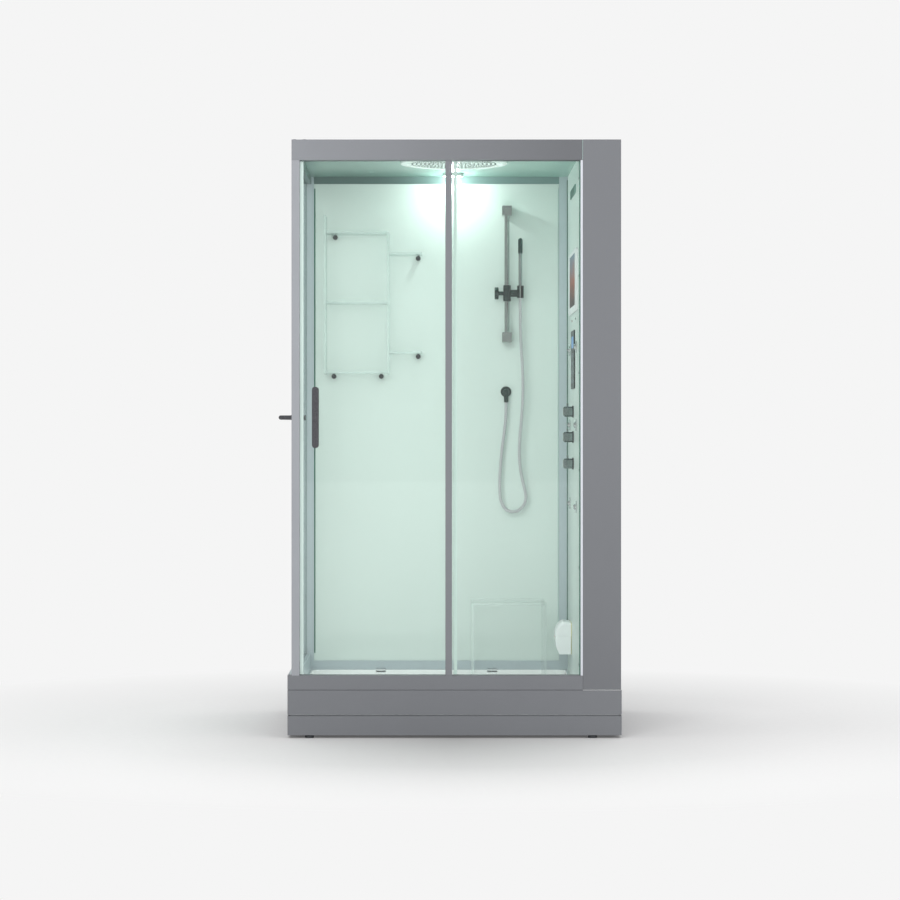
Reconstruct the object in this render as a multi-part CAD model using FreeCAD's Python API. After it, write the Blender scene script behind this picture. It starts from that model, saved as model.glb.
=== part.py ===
"""Steam shower cabin: tray, glazed front and left side, service column on the right, fittings inside.

Millimetres. +X is to the right seen from the front, +Y to the rear and +Z up. The origin is on the floor,
under the middle of the 1200 by 900 base, where the middle levelling foot stands.
"""
import math
import os

import FreeCAD
import Part

V = FreeCAD.Vector
ALONG_X, ALONG_Y, ALONG_Z = V(1, 0, 0), V(0, 1, 0), V(0, 0, 1)

# ---- overall and base ----
WIDTH = 1200.0
DEPTH = 900.0
HEIGHT = 2150.0
SEAT = 0.3                   # gap between pieces that sit against each other
RUNNING = 0.05               # radial clearance of a shaft in its bore
PAST = 1.0                   # how far a cutting body runs past the face that it cuts

FOOT_SHOW = 11.0             # floor to the lower skirt
LOWER_SKIRT_HEIGHT = 69.0
SKIRT_GAP = 5.0
UPPER_SKIRT_HEIGHT = 87.0
SKIRT_THICKNESS = 3.0
SKIRT_FLANGE = 6.5
RAIL_SEAM = 2.5
BOTTOM_RAIL_HEIGHT = 51.0
RAIL_DEPTH = 42.0
SIDE_RAIL_WIDTH = 38.0
RIM_DROP = 9.0               # tray rim below the top of the upper skirt
TRAY_FLOOR = 90.0
TRAY_WALL = 6.0
WELL_INSET_FRONT = 54.0
WELL_INSET_REAR = 46.0
WELL_INSET_LEFT = 48.0
WELL_INSET_WALL = 12.7
WELL_CORNER = 40.0
WELL_BOTTOM_RADIUS = 22.0
NOTCH_WIDTH = 39.0
NOTCH_DEPTH = 12.0
NOTCH_FROM_LEFT_POST = 264.0
NOTCH_FROM_WALL = 298.0
NOTCH_RAIL_CLEARANCE = 4.0   # cut in the rear rail over each notch
FRAME_BAR = 25.0
FRAME_WALL = 2.0
PAD_DIAMETER = 33.0
PAD_HEIGHT = 8.0
STEM_DIAMETER = 10.0
FOOT_NUT_FLATS = 17.0
FOOT_NUT_HEIGHT = 8.0
FOOT_INSET_LEFT = 78.0
FOOT_INSET_RIGHT = 103.0
DRAIN_FROM_LEFT = 300.0
DRAIN_BEHIND_MIDDLE = 150.0
TRAP_DIAMETER = 84.0
TRAP_BORE = 72.0
TRAP_FLANGE_DIAMETER = 110.0
TRAP_FLANGE = 3.0
TRAP_BOTTOM = 12.0
TRAP_WALL = 3.0
WASTE_DIAMETER = 40.0
WASTE_BORE = 34.0
WASTE_HEIGHT = 36.0
WASTE_LENGTH = 50.0
WASTE_COLLAR_DIAMETER = 46.0
WASTE_COLLAR = 3.0           # shoulder in front of the trap's body
COVER_DIAMETER = 100.0
COVER_THICKNESS = 3.0
COVER_HOLES = 8
COVER_HOLE_DIAMETER = 7.0
COVER_RING_DIAMETER = 57.6
CUP_DIAMETER = 43.2          # bell under the cover, which dips into the trap
CUP_BORE = 36.0
CUP_DEPTH = 20.0

# ---- cabin frame and glazing ----
POST_SETBACK = 14.5
POST_WIDTH = 28.5
POST_WALL = 3.0
POST_WEB = 4.0               # solid behind the glass slot
PROFILE_ROUND = 1.5          # rounded edges of the profiles
RAIL_WALL = 4.0
RAIL_FACE_WALL = 7.0
REAR_POST_DEPTH = 20.0
REAR_LEFT_POST_WIDTH = 39.0
REAR_RIGHT_POST_WIDTH = 34.0
COLUMN_SETBACK = 2.0
COLUMN_WIDTH = 137.3
TRIM_WIDTH = 8.0
SHEET = 3.0                  # folded sheet of the column
COLUMN_RETURN = 20.0
COLUMN_LIP = 6.0             # lip of the shell below the ceiling
HEADER_HEIGHT = 74.0
HEADER_DEPTH = 50.0
HEADER_SEAM = 1.7
HEADER_WALL = 4.0
HEADER_REAR_WALL = 3.0
CAP_DIAMETER = 12.0          # screw caps on the header
CAP_HEIGHT = 3.0
CAP_PLACES = (9.0, 46.0)
CEILING_DROP = 49.0
ROOF_THICKNESS = 4.0
ROOF_UPSTAND_DROP = 10.0
REAR_RAIL_HEIGHT = 34.0
TOP_RAIL_HEIGHT = 28.0
GLASS = 6.0
GLASS_HOLD = 12.0            # how far a pane reaches into a rail or post
PANEL = 5.0
PANEL_HOLD = 10.0
PANEL_TO_REAR = 14.0
WALL_PANEL = 4.0
FIXED_PANE_WIDTH = 485.7
PANE_FROM_FRONT = 10.0
MULLION_WIDTH = 23.5
MULLION_FROM_FRONT = 2.0
MULLION_DEPTH = 18.0
LEFT_GLASS_IN_POST = 5.5

# ---- sliding door ----
DOOR_FROM_FRONT = 26.0
DOOR_GAP_AT_POST = 5.0
DOOR_OVERLAP = 38.0          # door behind the fixed pane when closed
DOOR_HOLD_BOTTOM = 14.0
DOOR_HOLD_TOP = 19.0
GROOVE_WIDTH = 14.0
GROOVE_DEPTH = 18.0
HANGER_INSET = 60.0
HANGER_WIDTH = 40.0
HANGER_CHEEK = 2.0
HANGER_GRIP = 18.0
HANGER_ABOVE_AXLE = 8.0
SHOE_WIDTH = 30.0
SHOE_CLEARANCE = 0.5
TRACK_SLOT = 13.0
TRACK_FRONT_LEDGE = 4.0
TRACK_LEDGE_UP = 24.0        # ledge above the header's underside
ROLLER_DIAMETER = 22.0
ROLLER_WIDTH = 7.0
AXLE_DIAMETER = 6.0
AXLE_COLLAR_DIAMETER = 10.0
AXLE_END = 1.7
ROLLER_BEHIND_SLOT = 1.0
SEAL_WALL = 2.0
SEAL_WRAP = 8.0
SEAL_TIP = 4.0
SEAL_END_GAP = 2.0
HANDLE_HEIGHT = 1152.0
HANDLE_FROM_POST = 56.0
HANDLE_WIDTH = 23.0
HANDLE_LENGTH = 221.0
HANDLE_THICKNESS = 10.0
HANDLE_STANDOFF = 13.0
HANDLE_STANDOFF_DIAMETER = 14.0
HANDLE_BOLT_DIAMETER = 7.4
HANDLE_BOLT_SPACING = 160.0
HANDLE_BOLT_REACH = 9.0

# ---- towel bar on the left glass ----
TOWEL_BAR_HEIGHT = 1152.0
TOWEL_BAR_LENGTH = 500.0
TOWEL_BAR_REACH = 64.0
TOWEL_BAR_DIAMETER = 16.0
TOWEL_BAR_FOOT_DIAMETER = 24.0
TOWEL_BAR_FOOT = 22.0
TOWEL_BOLT_DIAMETER = 8.0
TOWEL_NUT_DIAMETER = 20.0
TOWEL_NUT = 4.0

# ---- rear wall: shower rail, shelves ----
RISER_FROM_WALL = 240.7
RISER_STANDOFF = 50.0
RISER_DIAMETER = 20.0
RISER_WALL = 1.5
RISER_TOP_DROP = 137.0       # top bracket's middle below the ceiling
RISER_SPAN = 496.0
BRACKET = 38.0
BRACKET_DEPTH = 66.0
BRACKET_ROUND = 2.0
SLIDER_WALL = 4.5            # block beside the tube, holds the two pins
SLIDER_HEIGHT = 62.0
SLIDER_DEPTH = 36.0
FITTING_ROUND = 4.0
SLIDER_DROP = 461.0          # slider's middle below the ceiling
KNOB_DIAMETER = 48.0
KNOB_THICKNESS = 16.0
KNOB_ROUND = 3.0
KNOB_NECK_DIAMETER = 16.0
KNOB_NECK = 18.0
KNOB_SHAFT_DIAMETER = 8.0
KNOB_SHAFT = 4.0
CRADLE_FROM_RISER = 52.5
CRADLE_RISE = 13.0           # cradle's underside above the slider's
CRADLE_WIDTH = 26.0
CRADLE_HEIGHT = 48.0
CRADLE_DEPTH = 27.0
CRADLE_ARM_HEIGHT = 27.0
CRADLE_ARM_DEPTH = 20.0
CRADLE_ARM_START = 2.0       # from the collar's face
CRADLE_ARM_OVERLAP = 5.0     # into the socket block
CRADLE_MOUTH_CLEARANCE = 0.8
CRADLE_COLLAR_DIAMETER = 26.0
CRADLE_COLLAR = 9.0
CRADLE_PIN_DIAMETER = 8.0
CRADLE_PIN = 4.0
CONE_TOP_DIAMETER = 19.0
CONE_BOTTOM_DIAMETER = 16.0
HOSE_DIAMETER = 13.0
ARC_SHARE = 0.45             # of the shorter run, that each of the hose's arcs takes
WAND_HANDLE_DIAMETER = 15.0
WAND_HEAD_DIAMETER = 18.0
WAND_HEAD_LENGTH = 60.0
WAND_LENGTH = 235.0
ELBOW_FROM_RISER = 2.5
ELBOW_DROP = 846.0
ELBOW_PLATE_DIAMETER = 42.0
ELBOW_PLATE = 6.0
ELBOW_STANDOFF = 25.0
ELBOW_DIAMETER = 22.0
ELBOW_THREAD_DIAMETER = 16.0
ELBOW_THREAD_CLEARANCE = 0.5
ELBOW_THREAD_FROM_REAR = 3.0
FEED_DIAMETER = 5.4          # feed pipe behind the rear panel
FEED_INTO_COLUMN = 20.0
HOSE_NUT_DIAMETER = 18.0
HOSE_NUT_LENGTH = 30.0

SHELF_FROM_POST = 43.5
SHELF_DEPTH = 120.0
SHELF_BOARD = 8.0
SHELF_BAY = 239.0
SHELF_LEFT_DROP = 158.0      # top of the left upright below the ceiling
SHELF_RIGHT_DROP = 224.0
SHELF_BOTTOM_DROP = 779.0
SHELF_BAY_DROPS = (222.0, 495.0, 768.0)
SHELF_WING = 128.0
SHELF_WING_DROPS = (304.0, 690.0)
STANDOFF_DIAMETER = 19.0
STANDOFF_LENGTH = 28.0
STANDOFF_TOP_INSET = 33.0    # upper support, from the left upright
STANDOFF_WING_INSET = 16.0   # supports of the wing, from its free end
STANDOFF_LEFT_INSET = 28.0   # lower supports, from the two uprights
STANDOFF_RIGHT_INSET = 25.0

# ---- right wall: controls ----
CONTROLS_BEHIND_MIDDLE = 20.0
VENT_LENGTH = 320.0
VENT_HEIGHT = 31.0
VENT_DROP = 97.0
VENT_PLATE = 4.0
VENT_SLAT = 4.0
VENT_SLATS = 4
VENT_END = 14.0
VENT_HOLE_INSET = 10.0
VENT_HOLE_LIP = 4.0
FAN_DIAMETER = 22.0
FAN_LENGTH = 260.0
FAN_SHAFT_DIAMETER = 5.0
FAN_SHAFT_END = 11.0
FAN_DISC = 2.0
FAN_BLADES = 12
FAN_BLADE_WIDTH = 4.0
FAN_BLADE_THICKNESS = 1.2
FAN_BLADE_INSET = 2.5
FAN_BOX_LENGTH = 310.0
FAN_BOX_WALL = 3.0
BEARING_FROM_BLADES = 7.0
BEARING_WIDTH = 6.0
BEARING_REACH = 8.0          # in front of the shaft's axis
FAN_BOX_DEPTH = 42.0
TV_WIDTH = 550.0
TV_HEIGHT = 231.0
TV_TOP_DROP = 324.0
TV_THICKNESS = 5.0
TV_ROUND = 12.0
SCREEN_WIDTH = 345.0
SCREEN_HEIGHT = 193.0
SCREEN_TOP_DROP = 13.0
SCREEN_THICKNESS = 3.0
PAD_WIDTH = 210.0
PAD_PANEL_HEIGHT = 219.0
PAD_TOP_DROP = 621.0
PAD_THICKNESS = 4.0
PAD_ROUND = 10.0
VALVE_DROPS = (926.0, 1022.0, 1122.0)
VALVE_PLATE_DIAMETER = 45.0
VALVE_PLATE = 5.0
VALVE_PLATE_CLEARANCE = 1.0
VALVE_HOLE = 16.0            # in the wall panel
VALVE_KNOB = 38.0
VALVE_KNOB_DEPTH = 34.0
VALVE_KNOB_CHAMFER = 5.0
VALVE_SHAFT_DIAMETER = 9.0
VALVE_SHAFT = 30.0           # behind the wall panel's face
VALVE_SOCKET = 12.0          # of which inside the valve's body
VALVE_PIN_DIAMETER = 7.0
VALVE_PIN = 12.0
VALVE_BODY_DEPTH = 36.0
VALVE_BODY_WIDTH = 48.0
VALVE_BODY_END = 30.0        # beyond the outer knobs
JET_DROPS = (687.0, 976.0, 1278.0)
JET_SPAN = 429.0
JET_PLATE_DIAMETER = 45.0
JET_PLATE = 5.0
JET_BALL_DIAMETER = 24.0
JET_STEM_DIAMETER = 30.0
JET_BORE = 5.0
JET_ROUND = 2.0
JET_BALL_INSET = 3.0         # ball's middle behind the plate's face
JET_FACE_CUT = 2.5           # cut off the front of the ball
MANIFOLD_DIAMETER = 16.0
MANIFOLD_BEHIND_PANEL = 10.0
MANIFOLD_END = 12.0
LINK_DIAMETER = 10.0
LINK_ABOVE_MIDDLE_KNOB = 24.0
LINK_SETBACK = 6.0
INLET_BORE = 18.6
INLET_SOCKET_DIAMETER = 26.0
INLET_SOCKET = 20.0
INLET_SOCKET_FLOOR = 3.0
INLET_FROM_BODY_BACK = 13.0
INLET_OFFSET = 10.0          # inlets beyond the outer knobs
INLET_PIPE_DIAMETER = 15.0
STEAM_RISE = 84.0            # underside of the outlet above the tray rim
STEAM_BODY_HEIGHT = 69.0
STEAM_LID_HEIGHT = 57.0
STEAM_REACH = 63.0
STEAM_WIDTH = 120.0
STEAM_BEHIND_CONTROLS = 185.0
STEAM_CHIN_SETBACK = 16.0    # underside behind the tip
STEAM_BEND_SETBACK = 3.0
STEAM_BEND_RISE = 30.0
STEAM_ROUND = 6.0
STEAM_RIM = 8.0              # width of the rim round the cup
STEAM_CUP = 10.0             # depth of the cup for fragrance
STEAM_SLIT = 8.0
STEAM_SLIT_RISE = 20.0
STEAM_SLIT_DEPTH = 30.0
STEAM_SLIT_END = 15.0
STEAM_DUCT_WIDTH = 30.0
STEAM_DUCT_RISE = 16.0
STEAM_DUCT_DROP = 14.0
STEAM_PIPE_SOCKET = 6.0
LID_SHOULDER_SETBACK = 9.0
LID_SHOULDER_RISE = 37.0
LID_TOP_SETBACK = 32.0
LID_FALL = 6.0               # top lower at the wall
LID_ROUND = 12.0
LID_FRONT_WALL = 12.0
LID_END_WALL = 10.0
LID_BACK_WALL = 4.0
LID_HOLLOW = 24.0
STEAM_PIPE_DIAMETER = 18.0
STEAM_PIPE_DROP = 26.0       # steam pipe below the outlet's seam
BOILER_HEIGHT = 330.0
BOILER_DEPTH = 300.0
BOILER_MARGIN = 8.0
BOILER_BELOW_MANIFOLDS = 60.0 # at least
BOILER_FROM_OUTLET = 40.0
BOILER_SHEET = 1.5
BOILER_ROUND = 6.0
BOILER_FOOT_DIAMETER = 20.0
BOILER_FOOT = 12.0
BOILER_FOOT_INSET = 20.0
TANK_DIAMETER = 90.0
TANK_HEIGHT = 260.0
TANK_WALL = 2.0
GLAND_BORE = 13.0
GLAND_DIAMETER = 24.0
GLAND_LENGTH = 15.0
GLAND_HEIGHT = 420.0
SCREW_HEAD_DIAMETER = 9.0
SCREW_HEAD = 1.5
SCREW_DIAMETER = 4.0
SCREW_REACH = 6.0            # behind the wall panel
SCREW_ROWS = 6
SCREW_TOP_DROP = 81.0
SCREW_PITCH = 353.0
SCREW_INSET_FRONT = 60.0
SCREW_INSET_REAR = 12.0

# ---- ceiling ----
RAIN_DIAMETER = 398.0
RAIN_PLATE_DIAMETER = 352.0
RAIN_THICKNESS = 9.0
RAIN_ROUND = 4.0
RAIN_STEP = 1.5              # plate's face above the ring's
RAIN_AHEAD_OF_MIDDLE = 138.0
RAIN_PIPE_DIAMETER = 14.0
RAIN_PIPE_ABOVE_ROOF = 18.0
RAIN_PIPE_INTO_COLUMN = 25.0
LIGHT_DIAMETER = 80.0
LIGHT_LENS_DIAMETER = 62.0
LIGHT_FROM_REAR = 140.0
LIGHT_THICKNESS = 11.0
LIGHT_BODY_DIAMETER = 36.0
LIGHT_BODY_ABOVE_ROOF = 16.0
LIGHT_LENS = 2.0
SLOT_LENGTH = 22.0
SLOT_WIDTH = 6.0
SLOT_PITCH = 29.0
SLOT_OFFSET = 316.0
SLOT_FROM_REAR = 213.0

# ---- stool ----
STOOL_WIDTH = 286.0
STOOL_DEPTH = 250.0
STOOL_HEIGHT = 355.0
STOOL_SHEET = 10.0
STOOL_ROUND = 3.0
STOOL_FROM_WALL = 96.7
STOOL_FROM_REAR = 75.0

# The hose's route from under the wand down round its loop and up to the wall elbow, from the elbow's outlet.
HOSE_ROUTE = [
    (55.0, -25.0, 407.7), (55.0, -25.0, 317.0), (58.0, -26.0, 218.0), (64.5, -25.0, 123.0),
    (66.5, -23.0, 23.0), (60.0, -21.0, -72.0), (51.0, -19.0, -162.0), (52.5, -17.0, -247.0),
    (66.5, -15.0, -319.0), (81.5, -13.0, -374.0), (64.5, -11.5, -417.0), (29.0, -10.0, -434.0),
    (-5.0, -8.5, -422.0), (-23.5, -7.0, -382.0), (-25.5, -5.0, -327.0), (-22.5, -3.0, -257.0),
    (-15.5, -1.0, -177.0), (-5.0, 0.0, -105.0), (0.0, 0.0, -54.0), (0.0, 0.0, 0.0),
]

# ---- planes worked out from the sizes ----
LEFT, RIGHT = -WIDTH / 2, WIDTH / 2
FRONT, REAR = -DEPTH / 2, DEPTH / 2
LOWER_SKIRT_TOP = FOOT_SHOW + LOWER_SKIRT_HEIGHT
UPPER_SKIRT_BOTTOM = LOWER_SKIRT_TOP + SKIRT_GAP
SKIRT_TOP = UPPER_SKIRT_BOTTOM + UPPER_SKIRT_HEIGHT
RAIL_BOTTOM = SKIRT_TOP + RAIL_SEAM
RAIL_TOP = RAIL_BOTTOM + BOTTOM_RAIL_HEIGHT
RIM = SKIRT_TOP - RIM_DROP
TRAY_BOTTOM = TRAY_FLOOR - TRAY_WALL
SKIN = SKIRT_THICKNESS + SEAT
HEADER_BOTTOM = HEIGHT - HEADER_HEIGHT
CEILING = HEIGHT - CEILING_DROP
POST_LEFT = LEFT + POST_SETBACK
POST_RIGHT = POST_LEFT + POST_WIDTH
POST_REAR = FRONT + RAIL_DEPTH
HEADER_REAR = FRONT + HEADER_DEPTH
COLUMN_RIGHT = RIGHT - COLUMN_SETBACK
COLUMN_LEFT = COLUMN_RIGHT - COLUMN_WIDTH
WALL = COLUMN_LEFT - TRIM_WIDTH
WALL_BACK = WALL + WALL_PANEL
REAR_POST_FRONT = REAR - REAR_POST_DEPTH
REAR_LEFT = POST_LEFT + REAR_LEFT_POST_WIDTH
REAR_RIGHT = WALL - REAR_RIGHT_POST_WIDTH
REAR_FACE = REAR - PANEL_TO_REAR
MULLION_LEFT = WALL - FIXED_PANE_WIDTH
MULLION_RIGHT = MULLION_LEFT + MULLION_WIDTH
CONTROLS = CONTROLS_BEHIND_MIDDLE
DRAIN = (LEFT + DRAIN_FROM_LEFT, DRAIN_BEHIND_MIDDLE)
RISER_X = WALL - RISER_FROM_WALL
RISER_Y = REAR_FACE - RISER_STANDOFF
SLIDER_Z = CEILING - SLIDER_DROP
SLIDER_WIDTH = RISER_DIAMETER + 2 * SLIDER_WALL
CRADLE_X = RISER_X + CRADLE_FROM_RISER
WAND_BOTTOM = SLIDER_Z - SLIDER_HEIGHT / 2 + CRADLE_RISE
ELBOW_X = RISER_X - ELBOW_FROM_RISER
ELBOW_Y = REAR_FACE - ELBOW_STANDOFF
ELBOW_Z = CEILING - ELBOW_DROP
ELBOW_OUTLET = ELBOW_Z - ELBOW_DIAMETER / 2 - HOSE_NUT_LENGTH
STEAM_Y = CONTROLS + STEAM_BEHIND_CONTROLS
STEAM_BOTTOM = RIM + STEAM_RISE
STEAM_SEAM = STEAM_BOTTOM + STEAM_BODY_HEIGHT
STEAM_PIPE_Z = STEAM_SEAM - STEAM_PIPE_DROP

# Panes and panels as (low, high) pairs, so that every rail and post makes room for the same bounds.
FIXED_GLASS = (
    (MULLION_LEFT + GLASS_HOLD, WALL + TRIM_WIDTH / 2),
    (FRONT + PANE_FROM_FRONT, FRONT + PANE_FROM_FRONT + GLASS),
    (RAIL_TOP - GLASS_HOLD, HEADER_BOTTOM + GLASS_HOLD),
)
LEFT_GLASS = (
    (POST_LEFT + LEFT_GLASS_IN_POST, POST_LEFT + LEFT_GLASS_IN_POST + GLASS),
    (POST_REAR - GLASS_HOLD, REAR_POST_FRONT + GLASS_HOLD - PANEL),
    (RAIL_TOP - GLASS_HOLD, CEILING - TOP_RAIL_HEIGHT + GLASS_HOLD),
)
DOOR_GLASS = (
    (POST_RIGHT + DOOR_GAP_AT_POST, MULLION_LEFT + DOOR_OVERLAP),
    (FRONT + DOOR_FROM_FRONT, FRONT + DOOR_FROM_FRONT + GLASS),
    (RAIL_TOP - DOOR_HOLD_BOTTOM, HEADER_BOTTOM + DOOR_HOLD_TOP),
)
REAR_PANEL = (
    (REAR_LEFT - PANEL_HOLD, REAR_RIGHT + PANEL_HOLD),
    (REAR_FACE, REAR_FACE + PANEL),
    (RIM + REAR_RAIL_HEIGHT - PANEL_HOLD, CEILING - TOP_RAIL_HEIGHT + PANEL_HOLD),
)
RIGHT_PANEL = ((WALL, WALL_BACK), (POST_REAR, REAR_POST_FRONT), (RIM, CEILING))
DOOR_Y = (DOOR_GLASS[1][0] + DOOR_GLASS[1][1]) / 2
HANDLE_X = POST_RIGHT + HANDLE_FROM_POST
HANGER_XS = (DOOR_GLASS[0][0] + HANGER_INSET, DOOR_GLASS[0][1] - HANGER_INSET)
LEDGE = HEADER_BOTTOM + TRACK_LEDGE_UP
ROLLER_Z = LEDGE + SEAT + ROLLER_DIAMETER / 2
ROLLER_FRONT = DOOR_Y + TRACK_SLOT / 2 + ROLLER_BEHIND_SLOT


# ---- simple shapes ----
def box(xs, ys, zs):
    """A block between three (low, high) pairs."""
    size = [high - low for low, high in (xs, ys, zs)]
    return Part.makeBox(*size, V(xs[0], ys[0], zs[0]))


def about(middle, size):
    """The (low, high) pair of a size centred on a place."""
    return (middle - size / 2, middle + size / 2)


def room(bounds, gap=SEAT):
    """A block that leaves a gap all round the given bounds."""
    return box(*[(low - gap, high + gap) for low, high in bounds])


def rod(diameter, start, axis, length):
    """A round bar from a start point along an axis."""
    return Part.makeCylinder(diameter / 2, length, V(*start), axis)


def tube(diameter, bore, start, axis, length):
    """A round bar with a bore right through it."""
    return rod(diameter, start, axis, length).cut(rod(bore, start, axis, length))


def prism(points, travel):
    """A flat outline carried along a straight travel."""
    corners = [V(*p) for p in points]
    return Part.Face(Part.makePolygon(corners + corners[:1])).extrude(travel)


def edges_along(shape, axis):
    """The straight edges of a shape that run along an axis."""
    found = []
    for edge in shape.Edges:
        ends = [v.Point for v in edge.Vertexes]
        if len(ends) == 2 and isinstance(edge.Curve, Part.Line):
            if (ends[1] - ends[0]).normalize().cross(axis).Length < 1e-6:
                found.append(edge)
    return found


def soften(shape, radius, axis):
    """Round the edges of a shape that run along an axis."""
    return shape.makeFillet(radius, edges_along(shape, axis))


def soft_box(xs, ys, zs, radius, axis):
    """A block whose edges along one axis are rounded."""
    return soften(box(xs, ys, zs), radius, axis)


def stadium(middle_x, middle_z, width, length, ys):
    """An upright pill outline in the XZ plane with a thickness along Y."""
    straight = length - width
    shape = box(about(middle_x, width), ys, about(middle_z, straight))
    for end in about(middle_z, straight):
        shape = shape.fuse(rod(width, (middle_x, ys[0], end), ALONG_Y, ys[1] - ys[0]))
    return shape.removeSplitter()


def hexagon(flats, middle, zs):
    """A hexagonal nut blank about a vertical axis."""
    reach = flats / 2 / math.cos(math.radians(30))
    angles = [math.radians(60 * i) for i in range(6)]
    x, y = middle
    points = [(x + reach * math.cos(a), y + reach * math.sin(a), zs[0]) for a in angles]
    return prism(points, V(0, 0, zs[1] - zs[0]))


def joined(first, *others):
    """One solid from several that touch or overlap."""
    shape = first
    for other in others:
        shape = shape.fuse(other)
    return shape.removeSplitter()


def write(name, *solids):
    """Write one node, as one solid or as a group of separate solids."""
    shape = solids[0] if len(solids) == 1 else Part.makeCompound(list(solids))
    shape.exportStep(f"parts/{name}.step")


# ---- base ----
def shower_tray():
    """Acrylic tray: a rim, a rounded well, a raised shelf under the column, two rear notches."""
    outline = ((LEFT + SKIN, RIGHT - SKIN), (FRONT + SKIN, REAR))
    well_xs = (LEFT + WELL_INSET_LEFT, WALL - WELL_INSET_WALL)
    well_ys = (FRONT + WELL_INSET_FRONT, REAR - WELL_INSET_REAR)
    hollow = soft_box(well_xs, well_ys, (TRAY_FLOOR, RIM + PAST), WELL_CORNER, ALONG_Z)
    floor_edges = [e for e in hollow.Edges if all(abs(v.Z - TRAY_FLOOR) < 1e-6 for v in e.Vertexes)]
    hollow = hollow.makeFillet(WELL_BOTTOM_RADIUS, floor_edges)
    shell = box(*outline, (TRAY_BOTTOM, RIM))
    inner = [(low + TRAY_WALL, high - TRAY_WALL) for low, high in outline]
    inside = box(*inner, (TRAY_BOTTOM, RIM - TRAY_WALL))
    grown = [(low - TRAY_WALL, high + TRAY_WALL) for low, high in (well_xs, well_ys)]
    basin = soft_box(*grown, (TRAY_BOTTOM, RIM), WELL_CORNER + TRAY_WALL, ALONG_Z)
    shelf = box((COLUMN_LEFT, RIGHT - SKIN), outline[1], (RIM - TRAY_WALL, RAIL_BOTTOM))
    tray = shell.cut(inside).fuse(basin).fuse(shelf).cut(hollow)
    flange = rod(TRAP_FLANGE_DIAMETER + 2 * SEAT, (*DRAIN, TRAY_FLOOR - TRAP_FLANGE), ALONG_Z, TRAP_FLANGE)
    hole = rod(TRAP_DIAMETER + 2 * SEAT, (*DRAIN, TRAY_BOTTOM), ALONG_Z, TRAY_WALL)
    tray = tray.cut(flange).cut(hole)
    for x in notch_places():
        side = x - NOTCH_WIDTH / 2
        front, above = well_ys[1] - PAST, RIM + PAST
        wedge = [
            (side, front, above), (side, front, RIM - NOTCH_DEPTH),
            (side, REAR_FACE, RIM - PAST), (side, REAR_FACE, above),
        ]
        tray = tray.cut(prism(wedge, V(NOTCH_WIDTH, 0, 0)))
    return tray.removeSplitter()


def notch_places():
    """Middles of the two notches at the rear of the tray."""
    return (REAR_LEFT + NOTCH_FROM_LEFT_POST, WALL - NOTCH_FROM_WALL)


def bar_lines():
    """Centre lines of the base frame's outer bars: their two x and their two y."""
    inset = SKIRT_THICKNESS + SKIRT_FLANGE + FRAME_BAR / 2
    return (LEFT + inset, RIGHT - inset), (FRONT + inset, REAR - inset)


def foot_places():
    """Middles of the feet: one at each corner, one at each side and one in the middle."""
    ys = bar_lines()[1]
    xs = (LEFT + FOOT_INSET_LEFT, RIGHT - FOOT_INSET_RIGHT)
    return [(x, y) for x in xs for y in (ys[0], 0.0, ys[1])] + [(0.0, 0.0)]


def tray_frame():
    """Welded frame of bars open underneath, with a hole over each foot."""
    xs, ys = bar_lines()
    zs = (TRAY_BOTTOM - FRAME_BAR, TRAY_BOTTOM)

    def bars(width, top):
        ends_x = (xs[0] - width / 2, xs[1] + width / 2)
        ends_y = (ys[0] - width / 2, ys[1] + width / 2)
        across = [box(ends_x, about(y, width), (zs[0], top)) for y in (ys[0], 0.0, ys[1])]
        along = [box(about(x, width), ends_y, (zs[0], top)) for x in (xs[0], 0.0, xs[1])]
        return joined(*across, *along)

    frame = bars(FRAME_BAR, zs[1]).cut(bars(FRAME_BAR - 2 * FRAME_WALL, zs[1] - FRAME_WALL))
    for x, y in foot_places():
        frame = frame.cut(rod(STEM_DIAMETER + 2 * SEAT, (x, y, zs[0]), ALONG_Z, FRAME_BAR))
    return frame


def levelling_feet():
    """A pad, a stem and a nut for each foot."""
    feet = []
    plate = TRAY_BOTTOM - FRAME_WALL - SEAT
    for x, y in foot_places():
        pad = rod(PAD_DIAMETER, (x, y, 0), ALONG_Z, PAD_HEIGHT)
        stem = rod(STEM_DIAMETER, (x, y, 0), ALONG_Z, TRAY_BOTTOM - SEAT)
        nut = hexagon(FOOT_NUT_FLATS, (x, y), (plate - FOOT_NUT_HEIGHT, plate))
        feet.append(joined(pad, stem, nut))
    return feet


def skirts(lower):
    """Front and side strips of one band; the lower band reaches in to the frame with a flange at its top."""
    zs = (FOOT_SHOW, LOWER_SKIRT_TOP) if lower else (UPPER_SKIRT_BOTTOM, SKIRT_TOP)
    front = box((LEFT, RIGHT), (FRONT, FRONT + SKIRT_THICKNESS), zs)
    side_ys = (FRONT + SKIN, REAR)
    left = box((LEFT, LEFT + SKIRT_THICKNESS), side_ys, zs)
    right = box((RIGHT - SKIRT_THICKNESS, RIGHT), side_ys, zs)
    if lower:
        flange_zs = (zs[1] - SKIRT_THICKNESS, zs[1])
        reach = SKIRT_THICKNESS + SKIRT_FLANGE
        inner = (LEFT + reach, RIGHT - reach)
        front = joined(front, box(inner, (FRONT, FRONT + reach), flange_zs))
        ys = (FRONT + reach, REAR - reach)
        left = joined(left, box((LEFT, inner[0]), ys, flange_zs))
        right = joined(right, box((inner[1], RIGHT), ys, flange_zs))
    return front, left, right


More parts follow.
